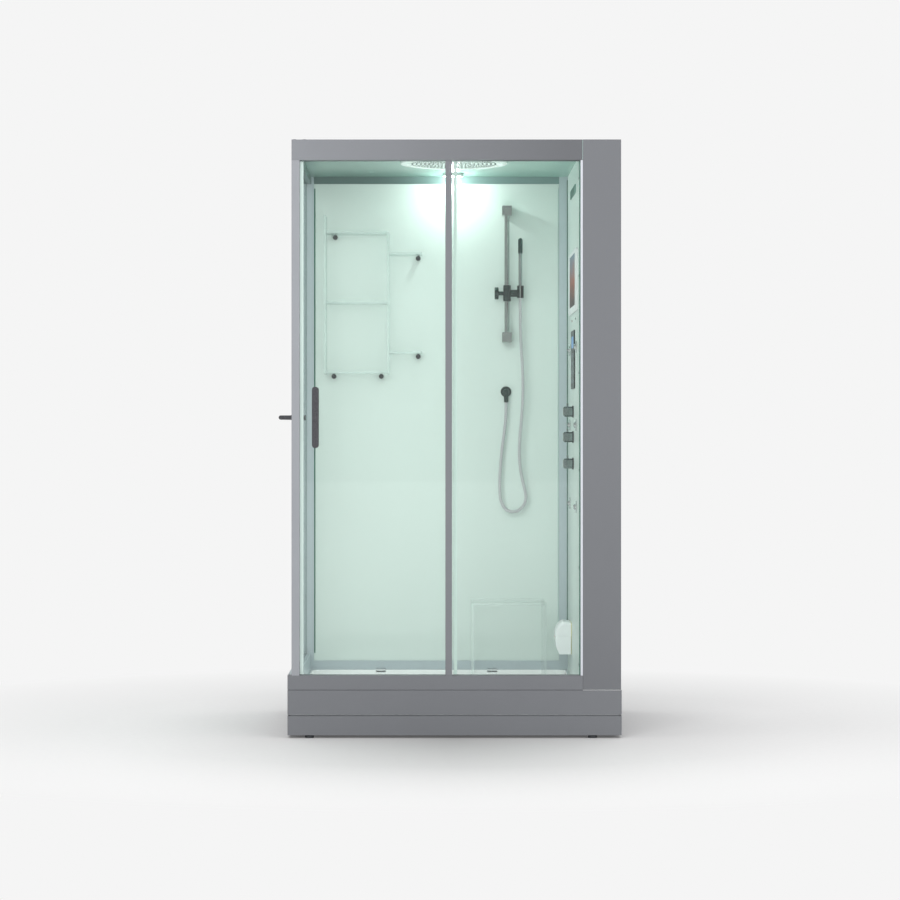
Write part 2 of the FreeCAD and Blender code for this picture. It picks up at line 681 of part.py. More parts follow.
def drain_trap():
    """Waste trap under the tray, with its flange in the floor and a shouldered spigot to the rear."""
    x, y = DRAIN
    body = rod(TRAP_DIAMETER, (x, y, TRAP_BOTTOM), ALONG_Z, TRAY_FLOOR - TRAP_BOTTOM)
    flange = rod(TRAP_FLANGE_DIAMETER, (x, y, TRAY_FLOOR - TRAP_FLANGE), ALONG_Z, TRAP_FLANGE)
    shoulder = TRAP_DIAMETER / 2 + WASTE_COLLAR
    collar = rod(WASTE_COLLAR_DIAMETER, (x, y, WASTE_HEIGHT), ALONG_Y, shoulder)
    spigot = rod(WASTE_DIAMETER, (x, y, WASTE_HEIGHT), ALONG_Y, shoulder + WASTE_LENGTH)
    well = rod(TRAP_BORE, (x, y, TRAP_BOTTOM + TRAP_WALL), ALONG_Z, TRAY_FLOOR)
    outlet = rod(WASTE_BORE, (x, y, WASTE_HEIGHT), ALONG_Y, shoulder + WASTE_LENGTH)
    return joined(body, flange, collar, spigot).cut(well).cut(outlet)


def drain_cover():
    """Lift-out cover: a disc over the trap with a cup under it and a ring of drain holes."""
    x, y = DRAIN
    top = TRAY_FLOOR + SEAT
    disc = rod(COVER_DIAMETER, (x, y, top), ALONG_Z, COVER_THICKNESS)
    cup = tube(CUP_DIAMETER, CUP_BORE, (x, y, top - CUP_DEPTH), ALONG_Z, CUP_DEPTH)
    cover = joined(disc, cup)
    reach = COVER_RING_DIAMETER / 2
    for i in range(COVER_HOLES):
        angle = 2 * math.pi * i / COVER_HOLES
        place = (x + reach * math.cos(angle), y + reach * math.sin(angle), top)
        cover = cover.cut(rod(COVER_HOLE_DIAMETER, place, ALONG_Z, COVER_THICKNESS))
    return cover


# ---- rails, posts and panes ----
def front_bottom_rail():
    """Hollow rail across the front with a slot for the fixed pane and a groove that guides the door."""
    y0, y1 = FRONT, FRONT + RAIL_DEPTH
    x1 = COLUMN_LEFT - SEAT
    rail = box((LEFT, x1), (y0, y1), (RAIL_BOTTOM, RAIL_TOP))
    rail = joined(rail, box((LEFT + SKIN, x1), (y0 + SKIN, y1), (RIM, RAIL_BOTTOM)))
    chamber_ys = (y0 + RAIL_FACE_WALL, y1 - RAIL_WALL)
    chamber_zs = (RIM + RAIL_WALL, RAIL_TOP - GROOVE_DEPTH - RAIL_WALL)
    chamber = box((LEFT - PAST, x1 + PAST), chamber_ys, chamber_zs)
    groove = box((POST_RIGHT, WALL), about(DOOR_Y, GROOVE_WIDTH), (RAIL_TOP - GROOVE_DEPTH, RAIL_TOP))
    return rail.cut(chamber).cut(groove).cut(room(FIXED_GLASS)).cut(room(LEFT_GLASS))


def left_bottom_rail():
    """Side rail that stands proud of the post, with the left glass in its top."""
    x0, x1 = LEFT, LEFT + SIDE_RAIL_WIDTH
    ys = (POST_REAR, REAR_POST_FRONT)
    rail = joined(
        box((x0, x1), ys, (RAIL_BOTTOM, RAIL_TOP)),
        box((x0 + SKIN, x1), ys, (RIM, RAIL_BOTTOM)),
        box((x0, POST_LEFT - SEAT), (ys[0], REAR), (RAIL_BOTTOM, RAIL_TOP)),
    )
    return rail.cut(room(LEFT_GLASS))


def left_top_rail():
    """Side rail under the roof, with the left glass in its underside."""
    zs = (CEILING - TOP_RAIL_HEIGHT, CEILING)
    return box((POST_LEFT, POST_RIGHT), (HEADER_REAR, REAR_POST_FRONT), zs).cut(room(LEFT_GLASS))


def rear_bottom_rail():
    """Rail behind the tray, notched where the tray drains."""
    rail = box((REAR_LEFT, REAR_RIGHT), (REAR_POST_FRONT, REAR), (RIM, RIM + REAR_RAIL_HEIGHT))
    for x in notch_places():
        mouth_ys = (REAR_POST_FRONT, REAR_FACE - PAST)
        rail = rail.cut(box(about(x, NOTCH_WIDTH), mouth_ys, (RIM, RIM + NOTCH_RAIL_CLEARANCE)))
    return rail.cut(room(REAR_PANEL))


def rear_top_rail():
    """Rail above the rear panel, under the roof."""
    rail = box((REAR_LEFT, REAR_RIGHT), (REAR_POST_FRONT, REAR), (CEILING - TOP_RAIL_HEIGHT, CEILING))
    return rail.cut(room(REAR_PANEL))


def rear_panel():
    """Rear wall panel with a hole for the elbow's thread."""
    hole = rod(
        ELBOW_THREAD_DIAMETER + 2 * ELBOW_THREAD_CLEARANCE,
        (ELBOW_X, REAR_FACE - PAST, ELBOW_Z), ALONG_Y, PANEL + 2 * PAST,
    )
    return box(*REAR_PANEL).cut(hole)


def front_left_post():
    """Hollow post at the front left, with the left glass in its back."""
    post = box((POST_LEFT, POST_RIGHT), (FRONT, POST_REAR), (RAIL_TOP, HEADER_BOTTOM))
    hollow_xs = (POST_LEFT + POST_WALL, POST_RIGHT - POST_WALL)
    hollow_ys = (FRONT + POST_WALL, POST_REAR - GLASS_HOLD - POST_WEB)
    hollow = box(hollow_xs, hollow_ys, (RAIL_TOP - PAST, HEADER_BOTTOM + PAST))
    return soften(post, PROFILE_ROUND, ALONG_Z).cut(hollow).cut(room(LEFT_GLASS))


def rear_posts():
    """Two posts at the rear corners that hold the panel's edges; the right one lets the feed pipe through."""
    left = box((POST_LEFT, REAR_LEFT), (REAR_POST_FRONT, REAR), (RIM, CEILING))
    right = box((REAR_RIGHT, WALL_BACK), (REAR_POST_FRONT, REAR), (RIM, CEILING))
    right = right.cut(feed_pipe(SEAT))
    return left.cut(room(REAR_PANEL)).cut(room(LEFT_GLASS)), right.cut(room(REAR_PANEL))


def feed_pipe(gap=0.0):
    """Pipe behind the rear panel from the wall elbow into the column."""
    reach = COLUMN_LEFT + FEED_INTO_COLUMN - ELBOW_X
    middle = REAR_FACE + PANEL + FEED_DIAMETER / 2 + SEAT
    return rod(FEED_DIAMETER + 2 * gap, (ELBOW_X, middle, ELBOW_Z), ALONG_X, reach)


def front_right_trim():
    """Pale strip beside the column that holds the fixed pane."""
    strip = box((WALL, COLUMN_LEFT - SEAT), (FRONT, POST_REAR), (RAIL_TOP, HEADER_BOTTOM))
    return strip.cut(room(FIXED_GLASS))


def header():
    """Front top rail with the roller chamber, the slot that the door hangs through and the pane's slot."""
    x1 = COLUMN_LEFT - HEADER_SEAM
    bar = box((POST_LEFT, x1), (FRONT, HEADER_REAR), (HEADER_BOTTOM, HEIGHT))
    rail = soften(bar, PROFILE_ROUND, ALONG_X)
    chamber_ys = (DOOR_Y - TRACK_SLOT / 2 - TRACK_FRONT_LEDGE, HEADER_REAR - HEADER_REAR_WALL)
    chamber = box((POST_RIGHT, WALL), chamber_ys, (LEDGE, HEIGHT - HEADER_WALL))
    slot = box((POST_RIGHT, WALL), about(DOOR_Y, TRACK_SLOT), (HEADER_BOTTOM - PAST, LEDGE + PAST))
    cap_y = FRONT + HEADER_DEPTH / 2
    caps = [rod(CAP_DIAMETER, (POST_LEFT + x, cap_y, HEIGHT), ALONG_Z, CAP_HEIGHT) for x in CAP_PLACES]
    rail = rail.cut(chamber).cut(slot)
    for bounds in (FIXED_GLASS, LEFT_GLASS, RIGHT_PANEL):
        rail = rail.cut(room(bounds))
    return (rail, *caps)


def mullion():
    """Upright that holds the fixed pane's left edge, in front of the door."""
    ys = (FRONT + MULLION_FROM_FRONT, FRONT + MULLION_FROM_FRONT + MULLION_DEPTH)
    bar = box((MULLION_LEFT, MULLION_RIGHT), ys, (RAIL_TOP, HEADER_BOTTOM))
    return soften(bar, PROFILE_ROUND, ALONG_Z).cut(room(FIXED_GLASS))


def roof_panel():
    """Glossy ceiling with an upstand all round, holes for the shower and the light, and two rows of slots."""
    xs = (POST_LEFT, WALL_BACK)
    ys = (HEADER_REAR + SEAT, REAR)
    zs = (CEILING, HEIGHT - ROOF_UPSTAND_DROP)
    inner = [(low + ROOF_THICKNESS, high - ROOF_THICKNESS) for low, high in (xs, ys)]
    roof = box(xs, ys, zs).cut(box(*inner, (CEILING + ROOF_THICKNESS, HEIGHT)))
    light = (0, REAR - LIGHT_FROM_REAR, CEILING)
    roof = roof.cut(rod(LIGHT_BODY_DIAMETER + 2 * SEAT, light, ALONG_Z, ROOF_THICKNESS))
    for x in (-SLOT_OFFSET, SLOT_OFFSET):
        for i in (-1, 0, 1):
            slot_ys = about(REAR - SLOT_FROM_REAR + i * SLOT_PITCH, SLOT_WIDTH)
            roof = roof.cut(box(about(x, SLOT_LENGTH), slot_ys, (CEILING, CEILING + ROOF_THICKNESS)))
    return roof.cut(rain_pipe(SEAT))


def rain_pipe(gap=0.0):
    """Feed pipe above the ceiling, from the column to the rain shower."""
    size = RAIN_PIPE_DIAMETER + 2 * gap
    height = CEILING + ROOF_THICKNESS + RAIN_PIPE_ABOVE_ROOF
    level = rod(size, (0, -RAIN_AHEAD_OF_MIDDLE, height), ALONG_X, COLUMN_LEFT + RAIN_PIPE_INTO_COLUMN)
    drop = rod(size, (0, -RAIN_AHEAD_OF_MIDDLE, CEILING - PAST), ALONG_Z, height - CEILING + PAST)
    elbow = Part.makeSphere(size / 2, V(0, -RAIN_AHEAD_OF_MIDDLE, height))
    return joined(level, drop, elbow)


# ---- service column ----
def jet_places():
    """The (y, z) of the six body jets."""
    return [(y, CEILING - drop) for y in about(CONTROLS, JET_SPAN) for drop in JET_DROPS]


def right_panel():
    """Inner wall of the column, with holes for everything that passes through it."""
    panel = box(*RIGHT_PANEL)
    vent_ys = about(CONTROLS, VENT_LENGTH - 2 * VENT_HOLE_INSET)
    vent_zs = about(CEILING - VENT_DROP, VENT_HEIGHT - 2 * VENT_HOLE_LIP)
    panel = panel.cut(box((WALL - PAST, WALL_BACK + PAST), vent_ys, vent_zs))
    holes = [(VALVE_HOLE, CONTROLS, CEILING - drop) for drop in VALVE_DROPS]
    holes += [(JET_STEM_DIAMETER + 2 * SEAT, y, z) for y, z in jet_places()]
    holes += [(SCREW_DIAMETER + 2 * SEAT, y, z) for y, z in screw_places()]
    holes.append((STEAM_PIPE_DIAMETER + 2 * SEAT, STEAM_Y, STEAM_PIPE_Z))
    for diameter, y, z in holes:
        panel = panel.cut(rod(diameter, (WALL - PAST, y, z), ALONG_X, WALL_PANEL + 2 * PAST))
    return panel


def column_front_panel():
    """Tall folded panel at the front of the column."""
    zs = (RAIL_BOTTOM, HEIGHT)
    face = box((COLUMN_LEFT, COLUMN_RIGHT), (FRONT, FRONT + COLUMN_RETURN), zs)
    inner_xs = (COLUMN_LEFT + SHEET, COLUMN_RIGHT - SHEET)
    inner_ys = (FRONT + SHEET, FRONT + COLUMN_RETURN)
    inner = box(inner_xs, inner_ys, (zs[0] + SHEET, zs[1] - SHEET))
    return soften(face, PROFILE_ROUND, ALONG_Z).cut(inner)


def column_shell():
    """Four screwed sheets: outer side, back with service holes and cable gland, lipped top, and floor."""
    ys = (FRONT + COLUMN_RETURN + SEAT, REAR)
    zs = (RAIL_BOTTOM, HEIGHT)
    side = box((COLUMN_RIGHT - SHEET, COLUMN_RIGHT), ys, zs)
    inner_xs = (COLUMN_LEFT, COLUMN_RIGHT - SHEET - SEAT)
    inner_ys = (ys[0], REAR - SHEET - SEAT)
    back = box((WALL_BACK + SEAT, inner_xs[1]), (REAR - SHEET, REAR), zs)
    top = box(inner_xs, inner_ys, (HEIGHT - SHEET, HEIGHT))
    lip = box((COLUMN_LEFT, COLUMN_LEFT + SHEET), inner_ys, (CEILING - COLUMN_LIP, HEIGHT))
    floor = box(inner_xs, inner_ys, (RAIL_BOTTOM, RAIL_BOTTOM + SHEET))
    gland_at = (COLUMN_LEFT + COLUMN_WIDTH / 2, REAR - GLAND_LENGTH, GLAND_HEIGHT)
    back = joined(back, rod(GLAND_DIAMETER, gland_at, ALONG_Y, GLAND_LENGTH))
    back = back.cut(rod(GLAND_BORE, gland_at, ALONG_Y, GLAND_LENGTH))
    for z in inlet_heights():
        hole_at = (valve_x()[1] - INLET_FROM_BODY_BACK, REAR - SHEET, z)
        back = back.cut(rod(INLET_SOCKET_DIAMETER + 2 * SEAT, hole_at, ALONG_Y, SHEET))
    return side, back, joined(top, lip).cut(rain_pipe(SEAT)), floor


def panel_screws():
    """Screws of the right wall panel."""
    screws = []
    for y, z in screw_places():
        start = (WALL - SEAT - SCREW_HEAD, y, z)
        head = rod(SCREW_HEAD_DIAMETER, start, ALONG_X, SCREW_HEAD)
        shank = rod(SCREW_DIAMETER, start, ALONG_X, SCREW_HEAD + WALL_PANEL + SCREW_REACH)
        screws.append(joined(head, shank))
    return screws


def screw_places():
    """The (y, z) of the wall panel's screws."""
    ys = (POST_REAR + SCREW_INSET_FRONT, REAR_POST_FRONT - SCREW_INSET_REAR)
    heights = [CEILING - SCREW_TOP_DROP - SCREW_PITCH * i for i in range(SCREW_ROWS)]
    return [(y, z) for y in ys for z in heights if z > RIM + SCREW_HEAD_DIAMETER]


# ---- sliding door ----
def door_glass():
    """Sliding pane with two holes for the handle's bolts."""
    pane = box(*DOOR_GLASS)
    start = DOOR_GLASS[1][0] - PAST
    for z in about(HANDLE_HEIGHT, HANDLE_BOLT_SPACING):
        hole = rod(HANDLE_BOLT_DIAMETER + 2 * SEAT, (HANDLE_X, start, z), ALONG_Y, GLASS + 2 * PAST)
        pane = pane.cut(hole)
    return pane


def door_handle():
    """Outer and inner grips, bolted together through the glass."""
    outer_face, inner_face = DOOR_GLASS[1]
    outer_ys = (outer_face - HANDLE_STANDOFF - HANDLE_THICKNESS, outer_face - HANDLE_STANDOFF)
    inner_ys = (inner_face + HANDLE_STANDOFF, inner_face + HANDLE_STANDOFF + HANDLE_THICKNESS)
    outer = stadium(HANDLE_X, HANDLE_HEIGHT, HANDLE_WIDTH, HANDLE_LENGTH, outer_ys)
    inner = stadium(HANDLE_X, HANDLE_HEIGHT, HANDLE_WIDTH, HANDLE_LENGTH, inner_ys)
    for z in about(HANDLE_HEIGHT, HANDLE_BOLT_SPACING):
        spacer = rod(HANDLE_STANDOFF_DIAMETER, (HANDLE_X, outer_ys[1], z), ALONG_Y, HANDLE_STANDOFF)
        bolt_length = HANDLE_STANDOFF + GLASS + HANDLE_BOLT_REACH
        bolt = rod(HANDLE_BOLT_DIAMETER, (HANDLE_X, outer_ys[1], z), ALONG_Y, bolt_length)
        outer = joined(outer, spacer, bolt)
        back = (HANDLE_X, inner_face, z)
        inner = joined(inner, rod(HANDLE_STANDOFF_DIAMETER, back, ALONG_Y, HANDLE_STANDOFF))
        inner = inner.cut(rod(HANDLE_BOLT_DIAMETER + 2 * SEAT, back, ALONG_Y, HANDLE_BOLT_REACH + SEAT))
    return outer, inner


def door_hangers_and_guides():
    """Two clamps on the glass's top edge with the rollers' axles, and two shoes under its bottom edge."""
    pieces = []
    ys = (DOOR_GLASS[1][0] - HANGER_CHEEK, DOOR_GLASS[1][1] + HANGER_CHEEK)
    glass_top = DOOR_GLASS[2][1]
    roller_back = ROLLER_FRONT + ROLLER_WIDTH
    shoe_zs = (RAIL_TOP - GROOVE_DEPTH + SEAT, DOOR_GLASS[2][0])
    for x in HANGER_XS:
        clamp = box(about(x, HANGER_WIDTH), ys, (glass_top - HANGER_GRIP, ROLLER_Z + HANGER_ABOVE_AXLE))
        clamp = clamp.cut(box(about(x, HANGER_WIDTH), DOOR_GLASS[1], (glass_top - HANGER_GRIP, glass_top)))
        axle = rod(AXLE_DIAMETER, (x, ys[1], ROLLER_Z), ALONG_Y, roller_back + SEAT + AXLE_END - ys[1])
        collar = rod(AXLE_COLLAR_DIAMETER, (x, ys[1], ROLLER_Z), ALONG_Y, ROLLER_FRONT - ys[1] - SEAT)
        end = rod(AXLE_COLLAR_DIAMETER, (x, roller_back + SEAT, ROLLER_Z), ALONG_Y, AXLE_END)
        pieces.append(joined(clamp, axle, collar, end))
        pieces.append(box(about(x, SHOE_WIDTH), about(DOOR_Y, GROOVE_WIDTH - 2 * SHOE_CLEARANCE), shoe_zs))
    return pieces


def top_roller(x):
    """Plain nylon wheel on a hanger's axle."""
    bore = AXLE_DIAMETER + 2 * RUNNING
    return tube(ROLLER_DIAMETER, bore, (x, ROLLER_FRONT, ROLLER_Z), ALONG_Y, ROLLER_WIDTH)


def door_seals():
    """Clear channels on the door's two upright edges."""
    zs = (RAIL_TOP + SEAL_END_GAP, HEADER_BOTTOM - SEAL_END_GAP)
    ys = about(DOOR_Y, GLASS + 2 * SEAL_WALL)
    low, high = DOOR_GLASS[0]
    at_post = (low - DOOR_GAP_AT_POST + SEAT, low + SEAL_WRAP)
    at_pane = (high - SEAL_WRAP, high + SEAL_TIP)
    return [box(xs, ys, zs).cut(box(*DOOR_GLASS)) for xs in (at_post, at_pane)]


# ---- outside the left glass ----
def towel_bar():
    """Round bar on two arms that are screwed through the left glass."""
    face = LEFT_GLASS[0][0]
    tip = face - TOWEL_BAR_REACH
    bar_x = tip + TOWEL_BAR_DIAMETER / 2
    ys = about(0.0, TOWEL_BAR_LENGTH)
    bar = rod(TOWEL_BAR_DIAMETER, (bar_x, ys[0], TOWEL_BAR_HEIGHT), ALONG_Y, TOWEL_BAR_LENGTH)
    pieces = [bar]
    for y in ys:
        pieces.append(rod(TOWEL_BAR_DIAMETER, (bar_x, y, TOWEL_BAR_HEIGHT), ALONG_X, face - bar_x))
        pieces.append(Part.makeSphere(TOWEL_BAR_DIAMETER / 2, V(bar_x, y, TOWEL_BAR_HEIGHT)))
        foot = Part.makeCone(
            TOWEL_BAR_DIAMETER / 2, TOWEL_BAR_FOOT_DIAMETER / 2, TOWEL_BAR_FOOT,
            V(face - TOWEL_BAR_FOOT, y, TOWEL_BAR_HEIGHT), ALONG_X,
        )
        pieces.append(foot)
        pieces.append(rod(TOWEL_BOLT_DIAMETER, (face - PAST, y, TOWEL_BAR_HEIGHT), ALONG_X, GLASS + 2 * PAST))
        pieces.append(rod(TOWEL_NUT_DIAMETER, (face + GLASS + SEAT, y, TOWEL_BAR_HEIGHT), ALONG_X, TOWEL_NUT))
    return joined(*pieces)


def left_glass():
    """Left pane with two holes for the towel bar."""
    pane = box(*LEFT_GLASS)
    start = LEFT_GLASS[0][0] - PAST
    for y in about(0.0, TOWEL_BAR_LENGTH):
        hole = rod(TOWEL_BOLT_DIAMETER + 2 * SEAT, (start, y, TOWEL_BAR_HEIGHT), ALONG_X, GLASS + 2 * PAST)
        pane = pane.cut(hole)
    return pane


# ---- shower rail ----
def riser_rail():
    """Upright tube in two square brackets on the rear panel."""
    high = CEILING - RISER_TOP_DROP
    low = high - RISER_SPAN
    foot = low - BRACKET / 4
    length = RISER_SPAN + BRACKET / 2
    solids = [tube(RISER_DIAMETER, RISER_DIAMETER - 2 * RISER_WALL, (RISER_X, RISER_Y, foot), ALONG_Z, length)]
    ys = (REAR_FACE - BRACKET_DEPTH, REAR_FACE)
    for z, socket_foot in ((high, high - BRACKET / 2), (low, foot - SEAT)):
        block = soft_box(about(RISER_X, BRACKET), ys, about(z, BRACKET), BRACKET_ROUND, ALONG_Y)
        start = (RISER_X, RISER_Y, socket_foot)
        solids.append(block.cut(rod(RISER_DIAMETER + 2 * SEAT, start, ALONG_Z, BRACKET * 3 / 4 + SEAT)))
    return solids


def rail_slider():
    """Block that slides on the rail, with sockets for the clamp knob and the cradle's pin."""
    xs = about(RISER_X, SLIDER_WIDTH)
    zs = about(SLIDER_Z, SLIDER_HEIGHT)
    block = soft_box(xs, about(RISER_Y, SLIDER_DEPTH), zs, FITTING_ROUND, ALONG_Z)
    rail_bore = rod(RISER_DIAMETER + 2 * RUNNING, (RISER_X, RISER_Y, zs[0]), ALONG_Z, SLIDER_HEIGHT)
    knob_hole = rod(KNOB_SHAFT_DIAMETER + 2 * RUNNING, (xs[0], RISER_Y, SLIDER_Z), ALONG_X, KNOB_SHAFT + SEAT)
    pin_start = (xs[1] - CRADLE_PIN - SEAT, RISER_Y, SLIDER_Z)
    pin_hole = rod(CRADLE_PIN_DIAMETER + 2 * RUNNING, pin_start, ALONG_X, CRADLE_PIN + SEAT)
    return block.cut(rail_bore).cut(knob_hole).cut(pin_hole)


def slider_knob():
    """Round clamp knob to the left of the slider."""
    face = RISER_X - SLIDER_WIDTH / 2 - SEAT
    neck = rod(KNOB_NECK_DIAMETER, (face - KNOB_NECK, RISER_Y, SLIDER_Z), ALONG_X, KNOB_NECK)
    disc = rod(KNOB_DIAMETER, (face - KNOB_NECK - KNOB_THICKNESS, RISER_Y, SLIDER_Z), ALONG_X, KNOB_THICKNESS)
    rim = [e for e in disc.Edges if isinstance(e.Curve, Part.Circle)]
    disc = disc.makeFillet(KNOB_ROUND, rim)
    shaft = rod(KNOB_SHAFT_DIAMETER, (face - PAST, RISER_Y, SLIDER_Z), ALONG_X, PAST + SEAT + KNOB_SHAFT)
    return joined(disc, neck, shaft)


def wand_seat(gap=0.0):
    """The tapered plug under the wand, or with a gap, the room for it in the cradle."""
    zs = (WAND_BOTTOM, WAND_BOTTOM + CRADLE_HEIGHT)
    low, high = CONE_BOTTOM_DIAMETER / 2 + gap, CONE_TOP_DIAMETER / 2 + gap
    return Part.makeCone(low, high, zs[1] - zs[0], V(CRADLE_X, RISER_Y, zs[0]), ALONG_Z)


def shower_cradle():
    """Tilting cradle: a collar beside the slider, an arm and an open-fronted tapered socket."""
    face = RISER_X + SLIDER_WIDTH / 2 + SEAT
    collar = rod(CRADLE_COLLAR_DIAMETER, (face, RISER_Y, SLIDER_Z), ALONG_X, CRADLE_COLLAR)
    pin_start = (face - SEAT - CRADLE_PIN, RISER_Y, SLIDER_Z)
    pin = rod(CRADLE_PIN_DIAMETER, pin_start, ALONG_X, CRADLE_PIN + SEAT + PAST)
    zs = (WAND_BOTTOM, WAND_BOTTOM + CRADLE_HEIGHT)
    xs = about(CRADLE_X, CRADLE_WIDTH)
    block = soft_box(xs, about(RISER_Y, CRADLE_DEPTH), zs, FITTING_ROUND, ALONG_Z)
    arm_xs = (face + CRADLE_ARM_START, xs[0] + CRADLE_ARM_OVERLAP)
    arm = box(arm_xs, about(RISER_Y, CRADLE_ARM_DEPTH), about(SLIDER_Z, CRADLE_ARM_HEIGHT))
    mouth_xs = about(CRADLE_X, HOSE_DIAMETER + 2 * CRADLE_MOUTH_CLEARANCE)
    mouth = box(mouth_xs, (RISER_Y - CRADLE_DEPTH, RISER_Y), (zs[0] - PAST, zs[1] + PAST))
    return joined(collar, pin, block, arm).cut(wand_seat(SEAT)).cut(mouth)


def hand_shower():
    """Slim wand with a rounded head and a tapered plug at its foot."""
    top_of_plug = WAND_BOTTOM + CRADLE_HEIGHT
    dome_middle = WAND_BOTTOM + WAND_LENGTH - WAND_HEAD_DIAMETER / 2
    head_bottom = WAND_BOTTOM + WAND_LENGTH - WAND_HEAD_LENGTH
    handle = rod(WAND_HANDLE_DIAMETER, (CRADLE_X, RISER_Y, top_of_plug), ALONG_Z, head_bottom - top_of_plug)
    head = rod(WAND_HEAD_DIAMETER, (CRADLE_X, RISER_Y, head_bottom), ALONG_Z, dome_middle - head_bottom)
    dome = Part.makeSphere(WAND_HEAD_DIAMETER / 2, V(CRADLE_X, RISER_Y, dome_middle))
    return joined(wand_seat(), handle, head, dome)


def wall_elbow():
    """Round plate, elbow and hose nut on the rear panel, with the thread and feed pipe behind it."""
    plate = rod(ELBOW_PLATE_DIAMETER, (ELBOW_X, REAR_FACE - ELBOW_PLATE, ELBOW_Z), ALONG_Y, ELBOW_PLATE)
    arm = rod(ELBOW_DIAMETER, (ELBOW_X, ELBOW_Y, ELBOW_Z), ALONG_Y, ELBOW_STANDOFF)
    bend = Part.makeSphere(ELBOW_DIAMETER / 2, V(ELBOW_X, ELBOW_Y, ELBOW_Z))
    nut = rod(HOSE_NUT_DIAMETER, (ELBOW_X, ELBOW_Y, ELBOW_OUTLET), ALONG_Z, ELBOW_Z - ELBOW_OUTLET)
    thread_length = REAR - ELBOW_THREAD_FROM_REAR - ELBOW_Y
    thread = rod(ELBOW_THREAD_DIAMETER, (ELBOW_X, ELBOW_Y, ELBOW_Z), ALONG_Y, thread_length)
    return joined(plate, arm, bend, nut, thread, feed_pipe())


def hose_path():
    """The route in the cabin's frame."""
    return [V(ELBOW_X + x, ELBOW_Y + y, ELBOW_OUTLET + z) for x, y, z in HOSE_ROUTE]


def shower_hose():
    """Hose as straight runs joined by tangent arcs, each arc as large as its two runs allow."""
    points = hose_path()
    edges = []
    start = points[0]
    radii = []
    for before, corner, after in zip(points, points[1:], points[2:]):
        first, second = corner - before, after - corner
        turn = first.getAngle(second)
        cut_back = ARC_SHARE * min(first.Length, second.Length)
        radii.append(cut_back / math.tan(turn / 2))
        enter = corner - V(first).normalize() * cut_back
        leave = corner + V(second).normalize() * cut_back
        bisector = (V(second).normalize() - V(first).normalize()).normalize()
        centre = corner + bisector * (radii[-1] / math.cos(turn / 2))
        edges.append(Part.LineSegment(start, enter).toShape())
        edges.append(Part.Arc(enter, centre - bisector * radii[-1], leave).toShape())
        start = leave
    edges.append(Part.LineSegment(start, points[-1]).toShape())
    path = Part.Wire(edges)
    ring = Part.Wire(Part.Circle(points[0], points[1] - points[0], HOSE_DIAMETER / 2).toShape())
    hose = path.makePipeShell([ring], True, False)
    expected = math.pi * HOSE_DIAMETER ** 2 / 4 * path.Length
    print("hose radii", [round(r) for r in radii])
    print("hose length", round(path.Length), "volume ratio", round(hose.Volume / expected, 4))
    return hose


# ---- shelves ----
def shelf_unit():
    """Clear uprights and boards, glued, with their backs on the rear panel."""
    x0 = REAR_LEFT + SHELF_FROM_POST
    ys = (REAR_FACE - SHELF_DEPTH, REAR_FACE - SEAT)
    low = CEILING - SHELF_BOTTOM_DROP
    left_xs = (x0, x0 + SHELF_BOARD)
    right_xs = (x0 + SHELF_BOARD + SHELF_BAY, x0 + 2 * SHELF_BOARD + SHELF_BAY)
    solids = [
        box(left_xs, ys, (low, CEILING - SHELF_LEFT_DROP)),
        box(right_xs, ys, (low, CEILING - SHELF_RIGHT_DROP)),
    ]
    for drop in SHELF_BAY_DROPS:
        z = CEILING - drop
        solids.append(box((left_xs[1], right_xs[0]), ys, (z - SHELF_BOARD, z)))
    for drop in SHELF_WING_DROPS:
        z = CEILING - drop
        solids.append(box((right_xs[1], right_xs[1] + SHELF_WING), ys, (z - SHELF_BOARD, z)))
    return solids


def shelf_standoffs():
    """Round supports on the rear panel under the boards."""
    bay = REAR_LEFT + SHELF_FROM_POST + SHELF_BOARD
    wing_x = bay + SHELF_BAY + SHELF_BOARD + SHELF_WING - STANDOFF_WING_INSET
    places = [
        (bay + STANDOFF_TOP_INSET, SHELF_BAY_DROPS[0]),
        (bay + STANDOFF_LEFT_INSET, SHELF_BAY_DROPS[-1]),
        (bay + SHELF_BAY - STANDOFF_RIGHT_INSET, SHELF_BAY_DROPS[-1]),
    ]
    places += [(wing_x, drop) for drop in SHELF_WING_DROPS]
    high = CEILING - SHELF_BOARD - SEAT - STANDOFF_DIAMETER / 2
    start = REAR_FACE - STANDOFF_LENGTH
    return [rod(STANDOFF_DIAMETER, (x, start, high - drop), ALONG_Y, STANDOFF_LENGTH) for x, drop in places]


